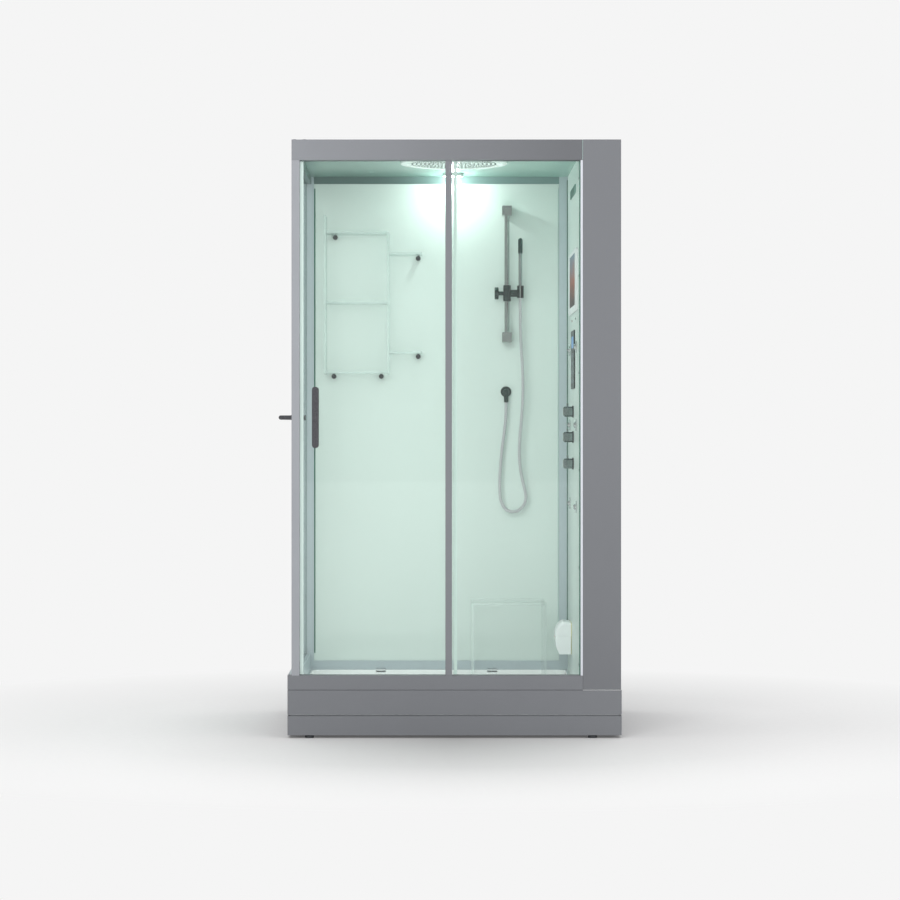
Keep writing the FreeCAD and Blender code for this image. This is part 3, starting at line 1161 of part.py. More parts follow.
# ---- right wall fittings ----
def vent_grille():
    """Long grille with level slats, and the fan's box behind the panel with the fan's bearings."""
    ys = about(CONTROLS, VENT_LENGTH)
    middle = CEILING - VENT_DROP
    zs = about(middle, VENT_HEIGHT)
    plate = box((WALL - VENT_PLATE, WALL), ys, zs)
    pitch = VENT_HEIGHT / (VENT_SLATS + 1)
    for i in range(1, VENT_SLATS + 1):
        z = zs[0] + i * pitch
        slot_ys = (ys[0] + VENT_END, ys[1] - VENT_END)
        plate = plate.cut(box((WALL - VENT_PLATE, WALL), slot_ys, about(z, pitch - VENT_SLAT / 2)))
    xs = (WALL_BACK + SEAT, WALL_BACK + SEAT + FAN_BOX_DEPTH)
    fan_box = box(xs, about(CONTROLS, FAN_BOX_LENGTH), about(middle, VENT_HEIGHT + 2 * FAN_BOX_WALL))
    inner_ys = about(CONTROLS, FAN_BOX_LENGTH - 2 * FAN_BOX_WALL)
    fan_box = fan_box.cut(box((xs[0], xs[1] - FAN_BOX_WALL), inner_ys, zs))
    for y in about(CONTROLS, FAN_LENGTH + 2 * BEARING_FROM_BLADES):
        bearing_zs = about(middle, VENT_HEIGHT + FAN_BOX_WALL)
        bearing = box((fan_x() - BEARING_REACH, xs[1]), about(y, BEARING_WIDTH), bearing_zs)
        fan_box = joined(fan_box, bearing)
    bore = rod(FAN_SHAFT_DIAMETER + 2 * RUNNING, (fan_x(), ys[0], middle), ALONG_Y, VENT_LENGTH)
    return plate, fan_box.cut(bore)


def fan_x():
    """Distance of the fan's axis across the column."""
    return WALL_BACK + SEAT + FAN_BOX_DEPTH / 2


def fan_rotor():
    """Cross-flow fan: blades between two discs and a middle disc, on one shaft."""
    middle = CEILING - VENT_DROP
    y0, y1 = about(CONTROLS, FAN_LENGTH)
    shaft_ys = (y0 - FAN_SHAFT_END, y1 + FAN_SHAFT_END)
    shaft = rod(FAN_SHAFT_DIAMETER, (fan_x(), shaft_ys[0], middle), ALONG_Y, shaft_ys[1] - shaft_ys[0])
    disc_ys = (y0, CONTROLS - FAN_DISC / 2, y1 - FAN_DISC)
    discs = [rod(FAN_DIAMETER, (fan_x(), y, middle), ALONG_Y, FAN_DISC) for y in disc_ys]
    blades = []
    pitch = 360 / FAN_BLADES
    radius = FAN_DIAMETER / 2 - FAN_BLADE_INSET
    for i in range(FAN_BLADES):
        angle = math.radians(pitch * i)
        blade = box(about(0.0, FAN_BLADE_THICKNESS), (y0, y1), about(0.0, FAN_BLADE_WIDTH))
        blade.rotate(V(0, 0, 0), ALONG_Y, pitch * (i + 1))
        blade.translate(V(fan_x() + radius * math.cos(angle), 0, middle - radius * math.sin(angle)))
        blades.append(blade)
    return joined(shaft, *discs, *blades)


def television():
    """White frame with a recess, and the screen that lies in it."""
    ys = about(CONTROLS, TV_WIDTH)
    zs = (CEILING - TV_TOP_DROP - TV_HEIGHT, CEILING - TV_TOP_DROP)
    face = WALL - TV_THICKNESS
    frame = soft_box((face, WALL), ys, zs, TV_ROUND, ALONG_X)
    screen_top = zs[1] - SCREEN_TOP_DROP
    screen_zs = (screen_top - SCREEN_HEIGHT, screen_top)
    screen = ((face, face + SCREEN_THICKNESS), about(CONTROLS, SCREEN_WIDTH), screen_zs)
    return frame.cut(room(screen)), box(*screen)


def control_panel():
    """Touch panel under the television."""
    zs = (CEILING - PAD_TOP_DROP - PAD_PANEL_HEIGHT, CEILING - PAD_TOP_DROP)
    return soft_box((WALL - PAD_THICKNESS, WALL), about(CONTROLS, PAD_WIDTH), zs, PAD_ROUND, ALONG_X)


def valve_x():
    """The mixing valve's front and back, across the column."""
    front = WALL + VALVE_SHAFT - VALVE_SOCKET
    return (front, front + VALVE_BODY_DEPTH)


def valve_plates():
    """Round plates behind the three knobs."""
    plates = []
    for drop in VALVE_DROPS:
        start = (WALL - VALVE_PLATE, CONTROLS, CEILING - drop)
        bore = VALVE_SHAFT_DIAMETER + 2 * VALVE_PLATE_CLEARANCE
        plates.append(tube(VALVE_PLATE_DIAMETER, bore, start, ALONG_X, VALVE_PLATE))
    return plates


def valve_knob(drop):
    """Cube knob with cut corners, a lever pin on top and a shaft into the valve."""
    z = CEILING - drop
    back = WALL - VALVE_PLATE - 2 * SEAT
    front = back - VALVE_KNOB_DEPTH
    cube = box((front, back), about(CONTROLS, VALVE_KNOB), about(z, VALVE_KNOB))
    front_edges = [e for e in cube.Edges if all(abs(v.X - front) < 1e-6 for v in e.Vertexes)]
    cube = cube.makeChamfer(VALVE_KNOB_CHAMFER, front_edges + edges_along(cube, ALONG_X))
    pin = rod(VALVE_PIN_DIAMETER, ((front + back) / 2, CONTROLS, z), ALONG_Z, VALVE_KNOB / 2 + VALVE_PIN)
    shaft = rod(VALVE_SHAFT_DIAMETER, (back - PAST, CONTROLS, z), ALONG_X, WALL + VALVE_SHAFT - back + PAST)
    return joined(cube, pin, shaft)


def inlet_heights():
    """Heights of the cold and hot inlets."""
    return (CEILING - VALVE_DROPS[-1] - INLET_OFFSET, CEILING - VALVE_DROPS[0] + INLET_OFFSET)


def manifold_foot():
    """Lower end of the two upright manifolds that feed the jets."""
    return CEILING - max(JET_DROPS) - MANIFOLD_END


def mixing_valve():
    """Valve body with its inlet pipes and sockets, and the pipes that feed the jets."""
    xs = valve_x()
    ys = about(CONTROLS, VALVE_BODY_WIDTH)
    knobs = [CEILING - drop for drop in VALVE_DROPS]
    body = box(xs, ys, (knobs[-1] - VALVE_BODY_END, knobs[0] + VALVE_BODY_END))
    for z in knobs:
        socket = rod(VALVE_SHAFT_DIAMETER + 2 * RUNNING, (xs[0], CONTROLS, z), ALONG_X, VALVE_SOCKET + SEAT)
        body = body.cut(socket)
    centre = xs[1] - INLET_FROM_BODY_BACK
    mouth = REAR - INLET_SOCKET
    for z in inlet_heights():
        pipe = rod(INLET_PIPE_DIAMETER, (centre, ys[1] - PAST, z), ALONG_Y, mouth - ys[1] + 2 * PAST)
        socket = rod(INLET_SOCKET_DIAMETER, (centre, mouth, z), ALONG_Y, INLET_SOCKET)
        bore = rod(INLET_BORE, (centre, mouth + INLET_SOCKET_FLOOR, z), ALONG_Y, INLET_SOCKET)
        body = joined(body, pipe, socket).cut(bore)
    manifold_x = WALL_BACK + MANIFOLD_BEHIND_PANEL + MANIFOLD_DIAMETER / 2
    foot = manifold_foot()
    rise = max(JET_DROPS) - min(JET_DROPS) + 2 * MANIFOLD_END
    jet_ys = about(CONTROLS, JET_SPAN)
    uprights = [rod(MANIFOLD_DIAMETER, (manifold_x, y, foot), ALONG_Z, rise) for y in jet_ys]
    link_start = (manifold_x + LINK_SETBACK, jet_ys[0], knobs[1] + LINK_ABOVE_MIDDLE_KNOB)
    return joined(body, *uprights, rod(LINK_DIAMETER, link_start, ALONG_Y, JET_SPAN))


def jet_plate(y, z):
    """Round jet plate with a ball seat and a stem through the panel."""
    disc = rod(JET_PLATE_DIAMETER, (WALL - JET_PLATE, y, z), ALONG_X, JET_PLATE)
    front = [e for e in disc.Edges if isinstance(e.Curve, Part.Circle) and e.Curve.Center.x < WALL - PAST]
    disc = disc.makeFillet(JET_ROUND, front)
    reach = WALL_PANEL + MANIFOLD_BEHIND_PANEL - SEAT
    stem = rod(JET_STEM_DIAMETER, (WALL - PAST, y, z), ALONG_X, reach + PAST)
    seat = Part.makeSphere(JET_BALL_DIAMETER / 2 + SEAT, V(jet_x(), y, z))
    return joined(disc, stem).cut(seat).cut(rod(JET_BORE, (jet_x(), y, z), ALONG_X, WALL + reach))


def jet_x():
    """Middle of the jets' balls."""
    return WALL - JET_PLATE + JET_BALL_INSET


def jet_nozzle(y, z):
    """Swivelling ball with a flat face and a bore."""
    radius = JET_BALL_DIAMETER / 2
    ball = Part.makeSphere(radius, V(jet_x(), y, z))
    tip = jet_x() - radius
    face = box((tip - PAST, tip + JET_FACE_CUT), about(y, JET_BALL_DIAMETER), about(z, JET_BALL_DIAMETER))
    bore = rod(JET_BORE, (tip, y, z), ALONG_X, JET_BALL_DIAMETER)
    return ball.cut(face).cut(bore)


def steam_outlet():
    """White box under the outlet's lid, tapered below, with a steam slit and a cup on top."""
    tip = WALL - STEAM_REACH
    ys = about(STEAM_Y, STEAM_WIDTH)
    outline = [
        (WALL, ys[0], STEAM_BOTTOM),
        (tip + STEAM_CHIN_SETBACK, ys[0], STEAM_BOTTOM),
        (tip + STEAM_BEND_SETBACK, ys[0], STEAM_BOTTOM + STEAM_BEND_RISE),
        (tip, ys[0], STEAM_SEAM),
        (WALL, ys[0], STEAM_SEAM),
    ]
    body = soften(prism(outline, V(0, STEAM_WIDTH, 0)), STEAM_ROUND, ALONG_Z)
    cup_xs = (tip + STEAM_RIM, WALL - STEAM_RIM)
    cup = box(cup_xs, (ys[0] + STEAM_RIM, ys[1] - STEAM_RIM), (STEAM_SEAM - STEAM_CUP, STEAM_SEAM))
    slit_ys = (ys[0] + STEAM_SLIT_END, ys[1] - STEAM_SLIT_END)
    slit_zs = about(STEAM_BOTTOM + STEAM_SLIT_RISE, STEAM_SLIT)
    slit = box((tip - PAST, tip + STEAM_SLIT_DEPTH), slit_ys, slit_zs)
    socket = WALL - STEAM_PIPE_SOCKET
    pipe = rod(STEAM_PIPE_DIAMETER + 2 * SEAT, (socket, STEAM_Y, STEAM_PIPE_Z), ALONG_X, STEAM_PIPE_SOCKET)
    duct_zs = (STEAM_BOTTOM + STEAM_DUCT_RISE, STEAM_SEAM - STEAM_DUCT_DROP)
    duct = box((tip + STEAM_SLIT_DEPTH - PAST, socket + SEAT), about(STEAM_Y, STEAM_DUCT_WIDTH), duct_zs)
    return body.cut(cup).cut(slit).cut(duct).cut(pipe)


def steam_outlet_lid():
    """Domed lid, hollow inside, that lifts off the box."""
    tip, back = WALL - STEAM_REACH, WALL - SEAT
    base = STEAM_SEAM + SEAT
    ys = about(STEAM_Y, STEAM_WIDTH)
    start = V(tip, ys[0], base)
    shoulder = start + V(LID_SHOULDER_SETBACK, 0, LID_SHOULDER_RISE)
    crest = start + V(LID_TOP_SETBACK, 0, STEAM_LID_HEIGHT)
    rear = V(back, ys[0], crest.z - LID_FALL)
    arc = Part.Arc(start, shoulder, crest).toShape()
    rest = Part.makePolygon([crest, rear, V(back, ys[0], base), start])
    shell = Part.Face(Part.Wire([arc] + rest.Edges)).extrude(V(0, STEAM_WIDTH, 0))
    rounded = []
    for edge in shell.Edges:
        ends = [v.Point for v in edge.Vertexes]
        at_side = any(all(abs(p.y - y) < 1e-6 for p in ends) for y in ys)
        if at_side and max(p.z for p in ends) > base + PAST and min(p.x for p in ends) < back - PAST:
            rounded.append(edge)
    hollow_xs = (tip + LID_FRONT_WALL, back - LID_BACK_WALL)
    hollow_ys = (ys[0] + LID_END_WALL, ys[1] - LID_END_WALL)
    return shell.makeFillet(LID_ROUND, rounded).cut(box(hollow_xs, hollow_ys, (base, base + LID_HOLLOW)))


def steam_generator():
    """Sheet-metal case on four feet with its steam pipe to the outlet, and the boiler tank inside it."""
    floor = RAIL_BOTTOM + SHEET
    height = min(BOILER_HEIGHT, manifold_foot() - BOILER_BELOW_MANIFOLDS - floor - BOILER_FOOT)
    xs = (COLUMN_LEFT + SHEET + BOILER_MARGIN, COLUMN_RIGHT - SHEET - BOILER_MARGIN)
    rear = STEAM_Y - STEAM_WIDTH / 2 - BOILER_FROM_OUTLET
    ys = (rear - BOILER_DEPTH, rear)
    zs = (floor + BOILER_FOOT, floor + BOILER_FOOT + height)
    inside = box(*[(low + BOILER_SHEET, high - BOILER_SHEET) for low, high in (xs, ys, zs)])
    case = soft_box(xs, ys, zs, BOILER_ROUND, ALONG_Z).cut(inside)
    foot_xs = (xs[0] + BOILER_FOOT_INSET, xs[1] - BOILER_FOOT_INSET)
    foot_ys = (ys[0] + BOILER_FOOT_INSET, ys[1] - BOILER_FOOT_INSET)
    feet = [rod(BOILER_FOOT_DIAMETER, (x, y, floor), ALONG_Z, BOILER_FOOT) for x in foot_xs for y in foot_ys]
    pipe_x = xs[0] + STEAM_PIPE_DIAMETER
    pipe_start = rear - BOILER_SHEET
    along = rod(STEAM_PIPE_DIAMETER, (pipe_x, pipe_start, STEAM_PIPE_Z), ALONG_Y, STEAM_Y - pipe_start)
    turn = Part.makeSphere(STEAM_PIPE_DIAMETER / 2, V(pipe_x, STEAM_Y, STEAM_PIPE_Z))
    out_start = WALL - STEAM_PIPE_SOCKET + PAST
    out = rod(STEAM_PIPE_DIAMETER, (out_start, STEAM_Y, STEAM_PIPE_Z), ALONG_X, pipe_x - out_start)
    tank_foot = ((xs[0] + xs[1]) / 2, (ys[0] + ys[1]) / 2, zs[0] + BOILER_SHEET)
    tank_height = height - BOILER_HEIGHT + TANK_HEIGHT
    tank = rod(TANK_DIAMETER, tank_foot, ALONG_Z, tank_height)
    tank_inner = (tank_foot[0], tank_foot[1], tank_foot[2] + TANK_WALL)
    tank = tank.cut(rod(TANK_DIAMETER - 2 * TANK_WALL, tank_inner, ALONG_Z, tank_height - 2 * TANK_WALL))
    return joined(case, along, turn, out, *feet), tank


# ---- ceiling ----
def rain_shower():
    """Round shower head flush under the ceiling: smooth ring, stepped plate, feed pipe above the roof."""
    middle = (0, -RAIN_AHEAD_OF_MIDDLE)
    ring = rod(RAIN_DIAMETER, (*middle, CEILING - RAIN_THICKNESS), ALONG_Z, RAIN_THICKNESS - SEAT)
    low = [e for e in ring.Edges if isinstance(e.Curve, Part.Circle) and e.Curve.Center.z < CEILING - 1]
    ring = ring.makeFillet(RAIN_ROUND, low)
    step = rod(RAIN_PLATE_DIAMETER, (*middle, CEILING - RAIN_THICKNESS - PAST), ALONG_Z, RAIN_STEP + PAST)
    return joined(ring.cut(step), rain_pipe())


def ceiling_light():
    """Downlight: bezel with its body through the roof, and a lens."""
    x, y = 0, REAR - LIGHT_FROM_REAR
    low = CEILING - LIGHT_THICKNESS
    bezel = rod(LIGHT_DIAMETER, (x, y, low), ALONG_Z, LIGHT_THICKNESS - SEAT)
    body_height = LIGHT_THICKNESS + ROOF_THICKNESS + LIGHT_BODY_ABOVE_ROOF
    body = rod(LIGHT_BODY_DIAMETER, (x, y, low), ALONG_Z, body_height)
    recess = rod(LIGHT_LENS_DIAMETER + 2 * SEAT, (x, y, low), ALONG_Z, LIGHT_LENS)
    return joined(bezel, body).cut(recess), rod(LIGHT_LENS_DIAMETER, (x, y, low), ALONG_Z, LIGHT_LENS)


# ---- stool ----
def stool():
    """Clear stool of a top and two side panels, standing on the tray's floor."""
    x1 = WALL - STOOL_FROM_WALL
    xs = (x1 - STOOL_WIDTH, x1)
    y1 = REAR - STOOL_FROM_REAR
    ys = (y1 - STOOL_DEPTH, y1)
    low = TRAY_FLOOR + SEAT
    top = low + STOOL_HEIGHT
    seat = soft_box(xs, ys, (top - STOOL_SHEET, top), STOOL_ROUND, ALONG_Z)
    sides = [box((x, x + STOOL_SHEET), ys, (low, top - STOOL_SHEET)) for x in (xs[0], xs[1] - STOOL_SHEET)]
    return [seat, *sides]


def main():
    """Build every node."""
    os.makedirs("parts", exist_ok=True)
    write("shower_tray", shower_tray())
    write("tray_frame", tray_frame())
    write("levelling_feet", *levelling_feet())
    lower, upper = skirts(lower=True), skirts(lower=False)
    write("front_skirts", lower[0], upper[0])
    write("side_skirts", *lower[1:], *upper[1:])
    write("drain_trap", drain_trap())
    write("drain_cover", drain_cover())

    write("front_bottom_rail", front_bottom_rail())
    write("side_and_rear_rails", left_bottom_rail(), left_top_rail(), rear_bottom_rail(), rear_top_rail())
    write("front_left_post", front_left_post())
    write("rear_posts", *rear_posts())
    write("header", *header())
    write("fixed_pane_uprights", mullion(), front_right_trim())
    write("roof_panel", roof_panel())
    write("rear_panel", rear_panel())
    write("left_glass", left_glass())
    write("fixed_front_glass", box(*FIXED_GLASS))
    write("right_panel", right_panel())
    write("column_front_panel", column_front_panel())
    write("column_shell", *column_shell())
    write("towel_bar", towel_bar())

    write("door_glass", door_glass())
    write("door_handle", *door_handle())
    write("door_hangers_and_guides", *door_hangers_and_guides())
    write("door_seals", *door_seals())
    for side, x in zip(("left", "right"), HANGER_XS):
        write(f"top_roller_{side}", top_roller(x))

    write("riser_rail", *riser_rail())
    write("rail_slider", rail_slider())
    write("slider_knob", slider_knob())
    write("shower_cradle", shower_cradle())
    write("hand_shower", hand_shower())
    write("wall_elbow", wall_elbow())
    write("shower_hose", shower_hose())
    write("shelf_unit", *shelf_unit())
    write("shelf_standoffs", *shelf_standoffs())

    write("vent_grille", *vent_grille())
    write("fan_rotor", fan_rotor())
    frame, screen = television()
    write("tv_frame", frame)
    write("tv_screen", screen)
    write("control_panel", control_panel())
    write("valve_plates", *valve_plates())
    for name, drop in zip(("upper", "middle", "lower"), VALVE_DROPS):
        write(f"valve_knob_{name}", valve_knob(drop))
    write("mixing_valve", mixing_valve())
    write("jet_plates", *[jet_plate(y, z) for y, z in jet_places()])
    for i, (y, z) in enumerate(jet_places()):
        write(f"jet_nozzle_{i + 1}", jet_nozzle(y, z))
    write("steam_outlet", steam_outlet())
    write("steam_outlet_lid", steam_outlet_lid())
    write("steam_generator", *steam_generator())
    write("panel_screws", *panel_screws())

    write("rain_shower", rain_shower())
    write("ceiling_light", *ceiling_light())
    write("stool", *stool())


if __name__ == "__main__":
    main()
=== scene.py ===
"""Steam shower cabin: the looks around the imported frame, laid out as an add-on.

Property groups hold the sizes and colours, each operator makes one piece or one group of like pieces, and main()
runs the operators in order. Everything is in metres, in the frame of the CAD model: X to the right, Y to the rear,
Z up, with the floor at zero.
"""

import math
import bpy
import numpy as np
from bpy.props import FloatProperty, FloatVectorProperty, IntProperty, PointerProperty
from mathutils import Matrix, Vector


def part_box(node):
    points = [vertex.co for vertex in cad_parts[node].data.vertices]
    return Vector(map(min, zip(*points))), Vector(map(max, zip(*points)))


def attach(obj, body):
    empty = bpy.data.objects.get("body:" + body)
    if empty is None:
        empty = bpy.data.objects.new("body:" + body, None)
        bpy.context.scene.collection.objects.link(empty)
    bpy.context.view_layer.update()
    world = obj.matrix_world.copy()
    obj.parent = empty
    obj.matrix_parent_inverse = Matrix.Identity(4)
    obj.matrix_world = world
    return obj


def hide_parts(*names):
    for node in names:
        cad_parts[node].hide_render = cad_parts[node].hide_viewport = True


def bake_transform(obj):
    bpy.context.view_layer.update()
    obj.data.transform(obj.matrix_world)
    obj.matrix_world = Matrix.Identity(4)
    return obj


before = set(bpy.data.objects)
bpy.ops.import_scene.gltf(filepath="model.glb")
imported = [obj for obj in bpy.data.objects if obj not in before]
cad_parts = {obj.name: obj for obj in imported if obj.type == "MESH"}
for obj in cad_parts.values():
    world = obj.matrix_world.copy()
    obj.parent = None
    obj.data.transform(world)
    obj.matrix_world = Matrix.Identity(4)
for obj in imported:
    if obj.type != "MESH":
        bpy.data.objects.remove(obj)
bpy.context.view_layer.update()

bl_info = {
    "name": "Steam shower cabin",
    "version": (1, 0, 0),
    "blender": (4, 5, 0),
    "location": "View3D > Sidebar > Cabin",
    "description": "Makes the pieces, finishes and stage of a steam shower cabin around its CAD model",
    "category": "Object",
}

X, Y, Z = range(3)
RIGHTWARD, REARWARD, UP = np.eye(3)
JET_NUMBERS = range(1, 7)


# ---- numbers and colours ----
def linear(red, green, blue):
    """A colour written as on a screen, 0 to 255, as the linear values that the shaders take."""
    parts = []
    for value in (red, green, blue):
        share = value / 255
        parts.append(share / 12.92 if share <= 0.04045 else ((share + 0.055) / 1.055) ** 2.4)
    return tuple(parts)


def scaled(colour, factor):
    """A colour made lighter or darker by one factor."""
    return tuple(min(1.0, part * factor) for part in colour[:3])


def colour_property(name, description, *screen):
    """A colour that a user may change."""
    return FloatVectorProperty(
        name=name, description=description, subtype="COLOR", size=3, min=0.0, max=1.0, default=linear(*screen)
    )


def length_property(name, description, default):
    """A length that a user may change."""
    return FloatProperty(name=name, description=description, default=default, min=0.0, unit="LENGTH", precision=4)


def power_property(name, description, default):
    """A lamp's power that a user may change."""
    return FloatProperty(name=name, description=description, default=default, min=0.0, unit="POWER")


class CabinSizes(bpy.types.PropertyGroup):
    """Sizes and counts of the detail pieces, and the power of the lamps."""

    hose_diameter: length_property("Hose diameter", "Outside diameter of the shower hose", 0.013)
    hose_pitch: length_property("Hose pitch", "Length of one turn of the hose's spiral", 0.008)
    hose_groove: length_property("Hose groove", "Depth of the spiral groove", 0.0011)
    nozzle_spacing: length_property("Nozzle spacing", "Distance between the rain shower's rings of nozzles", 0.0155)
    nozzle_diameter: length_property("Nozzle diameter", "Diameter of one nozzle of the rain shower", 0.0072)
    gasket_width: length_property("Gasket width", "Width of the seal beside the rear panel", 0.005)
    lamp_watts: power_property("Ceiling lamp", "Power of the lamp in the ceiling", 2.7)
    inside_watts: power_property("Inside light", "Power of the soft light in the cabin", 3.2)
    key_watts: power_property("Key light", "Power of the large light in front", 185.0)
    jet_outlets: IntProperty(
        name="Jet outlets", description="Small outlets round the middle of each body jet", default=8, min=3
    )


class CabinColours(bpy.types.PropertyGroup):
    """Colours of the finishes."""

    outer: colour_property("Outer frame", "Satin grey paint of the outer frame", 114, 116, 120)
    inner: colour_property("Inner frame", "Anodised profiles inside the cabin", 186, 198, 203)
    panel: colour_property("Wall panels", "Back-painted glass of the walls", 206, 219, 214)
    ceiling: colour_property("Ceiling", "Glossy panel under the roof", 150, 190, 178)
    tray: colour_property("Tray", "Acrylic of the shower tray", 238, 240, 240)
    trim: colour_property("Trim", "Pale profiles and mouldings", 232, 235, 236)
    glass_edge: colour_property("Glass edge", "What shows along the edges of the panes", 66, 118, 104)
    grip: colour_property("Grips", "Dark handle and towel bar", 68, 68, 72)
    display: colour_property("Display", "Lit symbols of the control panel", 120, 176, 232)


# ---- meshes ----
CORNER_POINTS = 5                   # on each quarter circle of a rounded outline


def add_mesh(name, points, faces, smooth=True):
    """A mesh object at the origin, from points and from faces with any number of corners."""
    mesh = bpy.data.meshes.new(name)
    corners = [[int(corner) for corner in face] for face in faces]
    mesh.from_pydata(np.asarray(points, float).reshape(-1, 3).tolist(), [], corners)
    mesh.polygons.foreach_set("use_smooth", np.full(len(mesh.polygons), smooth))
    mesh.update()
    piece = bpy.data.objects.new(name, mesh)
    bpy.context.scene.collection.objects.link(piece)
    return piece


def grid_faces(rows, columns):
    """Quads between neighbours of a grid of rows by columns, whose last column joins the first."""
    row = np.arange(rows - 1)[:, None]
    column = np.arange(columns)[None, :]
    after = (column + 1) % columns
    corners = (
        row * columns + column,
        row * columns + after,
        (row + 1) * columns + after,
        (row + 1) * columns + column,
    )
    return np.stack(np.broadcast_arrays(*corners), axis=-1).reshape(-1, 4)


def closed_faces(rows, columns):
    """The quads of such a grid, and one face over each of its two ends."""
    first_end = range(columns)[::-1]
    last_end = range((rows - 1) * columns, rows * columns)
    return [*grid_faces(rows, columns), first_end, last_end]


def across(axis):
    """Two unit vectors square to an axis and to each other."""
    axis = np.asarray(axis, float) / np.linalg.norm(axis)
    first = np.cross(axis, RIGHTWARD if abs(axis[0]) < 0.9 else UP)
    first /= np.linalg.norm(first)
    return first, np.cross(axis, first)


def turned_points(profile, centre, axis, steps):
    """Rows of rings: each (radius, height) of the profile is a circle of that radius, that far along the axis."""
    profile = np.asarray(profile, float)
    axis = np.asarray(axis, float) / np.linalg.norm(axis)
    first, second = across(axis)
    angle = np.linspace(0, 2 * math.pi, steps, endpoint=False)
    ring = np.cos(angle)[:, None] * first + np.sin(angle)[:, None] * second
    return np.asarray(centre, float) + profile[:, :1, None] * ring[None] + profile[:, 1:, None] * axis


def turned(name, profile, centre, axis, steps):
    """A solid of revolution, closed by one face at each end of its profile."""
    return add_mesh(name, turned_points(profile, centre, axis, steps), closed_faces(len(profile), steps))


def repeated(name, points, faces, places):
    """One small shape copied to many places: its points plus each place, as one mesh."""
    everywhere = places[:, None, :] + points[None]
    numbered = faces[None] + (np.arange(len(places)) * len(points))[:, None, None]
    return add_mesh(name, everywhere, numbered.reshape(-1, faces.shape[1]))


def square_to(path):
    """Two unit vectors at each point of a path, square to its direction there and to each other."""
    along = np.gradient(path, axis=0)
    along /= np.linalg.norm(along, axis=1)[:, None]
    side = np.cross(along, REARWARD)
    side /= np.linalg.norm(side, axis=1)[:, None]
    return side, np.cross(side, along)


def swept(name, path, outline):
    """A profile carried along a path: at each point the outline's (u, v) lies square to the path's direction."""
    side, other = square_to(path)
    points = path[:, None] + outline[None, :, :1] * side[:, None] + outline[None, :, 1:] * other[:, None]
    return add_mesh(name, points, closed_faces(len(path), len(outline)), smooth=False)


def rounded_outline(width, height, radius):
    """Points round a rectangle with round corners: four quarter circles, one about each corner's centre."""
    angle = np.linspace(0, math.pi / 2, CORNER_POINTS)
    corners = [(1, 1, 0.0), (-1, 1, 0.5), (-1, -1, 1.0), (1, -1, 1.5)]
    points = []
    for across_sign, up_sign, turn in corners:
        centre = np.array((across_sign * (width / 2 - radius), up_sign * (height / 2 - radius)))
        turned_angle = angle + turn * math.pi
        points.append(centre + radius * np.stack((np.cos(turned_angle), np.sin(turned_angle)), axis=1))
    return np.concatenate(points)


# ---- shader maths ----
class Signal:
    """A node's output socket, so that shader maths is written as Python: each operator adds one Math node."""

    def __init__(self, finish, socket):
        self.finish = finish
        self.socket = socket

    def maths(self, operation, *values):
        """One Math node over the values given."""
        return self.finish.node("Math", {"operation": operation}, dict(enumerate(values)))

    def __add__(self, other):
        return self.maths("ADD", self, other)

    def __sub__(self, other):
        return self.maths("SUBTRACT", self, other)

    def __rsub__(self, other):
        return self.maths("SUBTRACT", other, self)

    def __mul__(self, other):
        return self.maths("MULTIPLY", self, other)

    def __truediv__(self, other):
        return self.maths("DIVIDE", self, other)

    def __pow__(self, other):
        return self.maths("POWER", self, other)

    def __abs__(self):
        return self.maths("ABSOLUTE", self)

    def over(self, edge):
        """One where this is greater than the edge, and zero elsewhere."""
        return self.maths("GREATER_THAN", self, edge)

    def under(self, edge):
        """One where this is less than the edge, and zero elsewhere."""
        return self.maths("LESS_THAN", self, edge)

    def sine(self):
        """The sine of this."""
        return self.maths("SINE", self)

    def ramp(self, low, high):
        """Zero at low, one at high, and straight between them."""
        return self.finish.node("MapRange", {"clamp": True}, {0: self, 1: low, 2: high})


